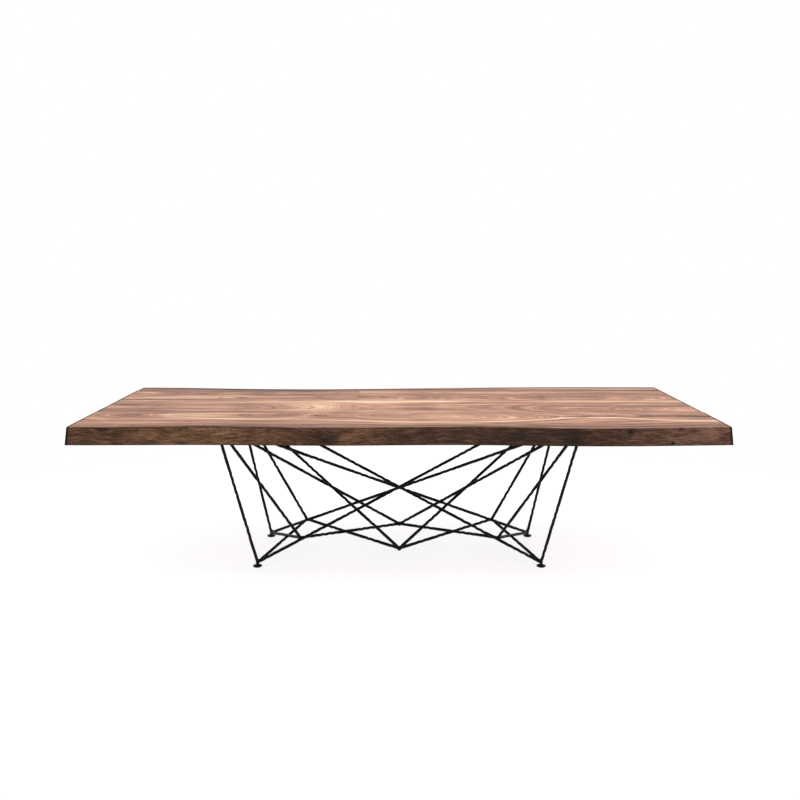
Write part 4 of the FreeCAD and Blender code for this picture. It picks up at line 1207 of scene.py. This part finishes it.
def hammered_rod(name, start, stop, seed):
    """A forged bar: blows flatten it, and it wanders a little off its line."""
    length = (stop - start).length
    along, aside, across = rod_frame(start, stop)
    count = max(2, round(length / RING_STEP)) + 1
    blows = hammer_blows(length, seed)
    rings = []
    for index in range(count):
        reach = length * index / (count - 1)
        near = [blow for blow in blows if abs(blow[0] - reach) < BLOW_REACH * HIT_LENGTH]
        drift = [ROD_WANDER * noise.noise(Vector((reach * 14, seed, level))) for level in (0, 9)]
        radii = []
        for turn in turns(ROD_AROUND):
            radius = ROD_RADIUS + ROD_SWELL
            for place, angle, depth in near:
                facing = max(0.0, math.cos(turn - angle))
                radius -= depth * facing ** 2 * math.exp(-2 * ((reach - place) / HIT_LENGTH) ** 2)
            radii.append(radius + ROD_GRIT * noise.noise(Vector((reach * 90, turn * 1.3, seed))))
        centre = start + along * reach + aside * drift[0] + across * drift[1]
        rings.append(hoop(centre, aside, across, radii))
    shell = Shell()
    shell.tube(rings)
    shell.piece(f"hammered_{name}", "table", "forged_iron", [iron], [name])


# Welds: stubs and a bead fused into one lump of metal

WELD_VOXEL = 1.3 * MM
WELD_AROUND = 16
BEAD_ROWS = 12
# Lumps in the metal by scale and height, and grains so many times finer, by height too
LUMP_SCALE, LUMP_HEIGHT = 260, 0.45 * MM
GRAIN_SCALE, GRAIN_HEIGHT = 2.7, 0.25 * MM
BEADS = {"foot": 9.2 * MM, "inner": 8.6 * MM, "low": 12 * MM, "top": 11 * MM}
WELD_REACH, WELD_COLLAR = 22 * MM, 1.5 * MM
PASSING_BEAD, PASSING_REACH, PASSING_COLLAR = 7.4 * MM, 17 * MM, 1.0 * MM
CROSSING_BEAD, CROSSING_REACH, CROSSING_COLLAR = 6.9 * MM, 13 * MM, 0.5 * MM
WELD_FLOOR, WELD_CEILING = BOSS_UNDER + 0.7 * MM, PLATE_UNDER + 0.3 * MM
# The hollow over a stem: its radius, and its top above the boss's underside
STEM_ROOM = 5.6 * MM
STEM_REACH = 17 * MM
# Rods cross where their lines pass this near to one another, away from their ends
CROSSING_GAP = 2.1 * ROD_RADIUS
CROSSING_SHARES = (0.05, 0.97)


def weld_stubs(centre, arms, bead, reach, collar):
    """A ball with a stub over each arm, the direction in which a rod leaves the centre."""
    shell = Shell()
    # Shares of the reach, and how much thicker than the rod a stub is there
    stub = ((-0.25, 0.2 * MM), (0, collar), (0.2, 0.8 * collar), (0.45, 0.4 * collar),
            (0.75, 0.5 * MM), (1, 0.1 * MM))
    for arm in arms:
        along, aside, across = rod_frame(centre, centre + arm)
        shell.tube([hoop(centre + along * (reach * share), aside, across,
                         [ROD_RADIUS + extra] * WELD_AROUND) for share, extra in stub])
    tilts = [math.pi * row / BEAD_ROWS for row in range(1, BEAD_ROWS)]
    shell.lathe([(bead * math.sin(tilt), centre.z + bead * math.cos(tilt)) for tilt in tilts],
                centre, WELD_AROUND)
    return shell


def fused(shell, name):
    """The shell's tubes as one smooth skin."""
    stubs = bpy.data.objects.new(f"{name}_stubs", shell.mesh(f"{name}_stubs"))
    bpy.context.scene.collection.objects.link(stubs)
    fuse = stubs.modifiers.new("fuse", "REMESH")
    fuse.mode = "VOXEL"
    fuse.voxel_size = WELD_VOXEL
    fuse.use_smooth_shade = True
    soften = stubs.modifiers.new("soften", "SMOOTH")
    soften.factor = 0.6
    soften.iterations = 5
    graph = bpy.context.evaluated_depsgraph_get()
    mesh = bpy.data.meshes.new_from_object(stubs.evaluated_get(graph))
    bpy.data.objects.remove(stubs)
    mesh.name = name
    return mesh


def weld(name, centre, arms, bead, reach, collar):
    """A rough lump of metal where rods meet."""
    mesh = fused(weld_stubs(centre, arms, bead, reach, collar), name)
    for vertex in mesh.vertices:
        spot = vertex.co * LUMP_SCALE
        out = (vertex.co - centre).normalized()
        vertex.co += out * (LUMP_HEIGHT * noise.noise(spot)
                            + GRAIN_HEIGHT * noise.noise(spot * GRAIN_SCALE))
    for polygon in mesh.polygons:
        polygon.use_smooth = True
    add_piece(name, mesh, "table", [iron])
    return mesh


def trim(mesh, centre, over_stem):
    """Keeps a lump between the bosses' and the plates' undersides, with room for a stem."""
    for vertex in mesh.vertices:
        vertex.co.z = min(max(vertex.co.z, WELD_FLOOR), WELD_CEILING)
        aside = (vertex.co - centre).to_2d().length
        if over_stem and aside < STEM_ROOM and vertex.co.z > centre.z:
            vertex.co.z = max(vertex.co.z, BOSS_UNDER + STEM_REACH)


def weld_point(key, centre):
    """The lump at a meeting point, with a stub for each rod that starts or stops there."""
    arms = []
    for run in rod_runs.values():
        if key in run:
            other = run[0] if key == run[1] else run[1]
            arms.append((points[other] - centre).normalized())
    kind, *corner = key
    if kind == "inner":
        end, side = corner
        foot, far_top = points["foot", end, side], points["top", ACROSS[end], ACROSS[side]]
        passing = (far_top - foot).normalized()
        beside = foot + passing * (centre - foot).dot(passing)
        weld(f"passing_weld_{end}_{side}", beside.lerp(centre, 0.35), [passing, -passing],
             PASSING_BEAD, PASSING_REACH, PASSING_COLLAR)
    mesh = weld("_".join((kind, "weld", *corner)), centre, arms, BEADS[kind], WELD_REACH,
                WELD_COLLAR)
    trim(mesh, centre, over_stem=kind == "foot")


def weld_crossings():
    runs = [[points[key] for key in run] for run in rod_runs.values()]
    low, high = CROSSING_SHARES
    number = 0
    for (a, b), (c, d) in combinations(runs, 2):
        found = geometry.intersect_line_line(a, b, c, d)
        if not found:
            continue
        near, far = found
        shares = [(near - a).dot(b - a) / (b - a).length_squared,
                  (far - c).dot(d - c) / (d - c).length_squared]
        if (near - far).length < CROSSING_GAP and all(low < share < high for share in shares):
            number += 1
            one, other = (b - a).normalized(), (d - c).normalized()
            weld(f"crossing_weld_{number}", near.lerp(far, 0.5), [one, -one, other, -other],
                 CROSSING_BEAD, CROSSING_REACH, CROSSING_COLLAR)


def build_base():
    for seed, (name, (start, stop)) in enumerate(rod_runs.items(), start=1):
        hammered_rod(name, points[start], points[stop], seed)
    for key, centre in points.items():
        weld_point(key, centre)
    weld_crossings()


# Camera, light and floor

# The photograph's camera: level, with its view shifted down
CAMERA_PLACE = (0.0034, -4.385, 1.5225)
CAMERA_LENS = 38.28
CAMERA_SHIFT = -0.1811
# White as seen, but dimmer as a light
WORLD_LEVEL = 0.75
LAMP_POWER = 75
LAMP_PLACE, LAMP_TARGET, LAMP_SIZE = (0, -0.4, 4.2), (0, 0, 0.7), (5.0, 3.5)
FLOOR_HALF = 30
FLOOR_WHITE = (0.8, 0.8, 0.8, 1)
# How much of the floor is glow under the table, and its level there; far out all is glow
FLOOR_GLOW = 0.45
FLOOR_LEVEL = 0.80
GLOW_REACH = (0.9, 2.4)
WHITE = (1, 1, 1, 1)


def add_camera():
    scene = bpy.context.scene
    camera = bpy.data.objects.new("photo_camera", bpy.data.cameras.new("photo_camera"))
    scene.collection.objects.link(camera)
    camera.location = CAMERA_PLACE
    camera.rotation_euler = (QUARTER_TURN, 0, 0)
    camera.data.lens = CAMERA_LENS
    camera.data.shift_y = CAMERA_SHIFT
    scene.camera = camera
    scene.view_settings.view_transform = "Standard"


def seen_share(g):
    """1 for what is seen, directly or in a sheen, and 0 for the light that falls on things."""
    path = g.add("ShaderNodeLightPath")
    seen = g.math("MAXIMUM", path.outputs["Is Camera Ray"], path.outputs["Is Glossy Ray"])
    return g.math("MAXIMUM", seen, path.outputs["Is Transmission Ray"])


def add_world():
    g = Graph("white_room", world=True)
    shade = g.add("ShaderNodeBackground")
    g.put(shade.inputs["Color"], WHITE)
    g.put(shade.inputs["Strength"], g.linear(seen_share(g), 1 - WORLD_LEVEL, WORLD_LEVEL))
    bpy.context.scene.world = g.finish(shade)


def add_lamp():
    lamp = bpy.data.lights.new("overhead", "AREA")
    lamp.shape = "RECTANGLE"
    lamp.size, lamp.size_y = LAMP_SIZE
    lamp.energy = LAMP_POWER
    holder = bpy.data.objects.new("overhead", lamp)
    bpy.context.scene.collection.objects.link(holder)
    holder.location = LAMP_PLACE
    holder.rotation_mode = "QUATERNION"
    aim = Vector(LAMP_TARGET) - Vector(LAMP_PLACE)
    holder.rotation_quaternion = aim.to_track_quat("-Z", "Y")


def floor_finish():
    """A matt white that glows a little where it is seen, more so away from the table."""
    g = Graph("white_floor")
    x, y, _ = g.split(g.place())
    far = g.smooth(g.distance(g.times(x, 0.7), y), *GLOW_REACH)
    diffuse = g.add("ShaderNodeBsdfDiffuse")
    g.put(diffuse.inputs["Color"], FLOOR_WHITE)
    glow = g.add("ShaderNodeEmission")
    g.put(glow.inputs["Color"], WHITE)
    under = FLOOR_LEVEL / FLOOR_GLOW
    g.put(glow.inputs["Strength"], g.linear(far, 1 - under, under))
    blend = g.add("ShaderNodeMixShader")
    g.put(blend.inputs[0], g.times(seen_share(g), g.linear(far, 1 - FLOOR_GLOW, FLOOR_GLOW)))
    g.put(blend.inputs[1], diffuse.outputs[0])
    g.put(blend.inputs[2], glow.outputs[0])
    return g.finish(blend)


def add_floor():
    corners = [(x * FLOOR_HALF, y * FLOOR_HALF, 0) for x, y in ((-1, -1), (1, -1), (1, 1), (-1, 1))]
    mesh = bpy.data.meshes.new("floor")
    mesh.from_pydata(corners, [], [(0, 1, 2, 3)])
    mesh.materials.append(floor_finish())
    floor = bpy.data.objects.new("floor", mesh)
    bpy.context.scene.collection.objects.link(floor)


build_top()
build_base()
for end, side in CORNERS:
    build_foot(f"{end}_{side}")
build_screws("plate_screws", "plate_screw_set")
build_screws("batten_screws", "batten_screw_set")
dress_carried_nodes()
add_camera()
add_world()
add_lamp()
add_floor()
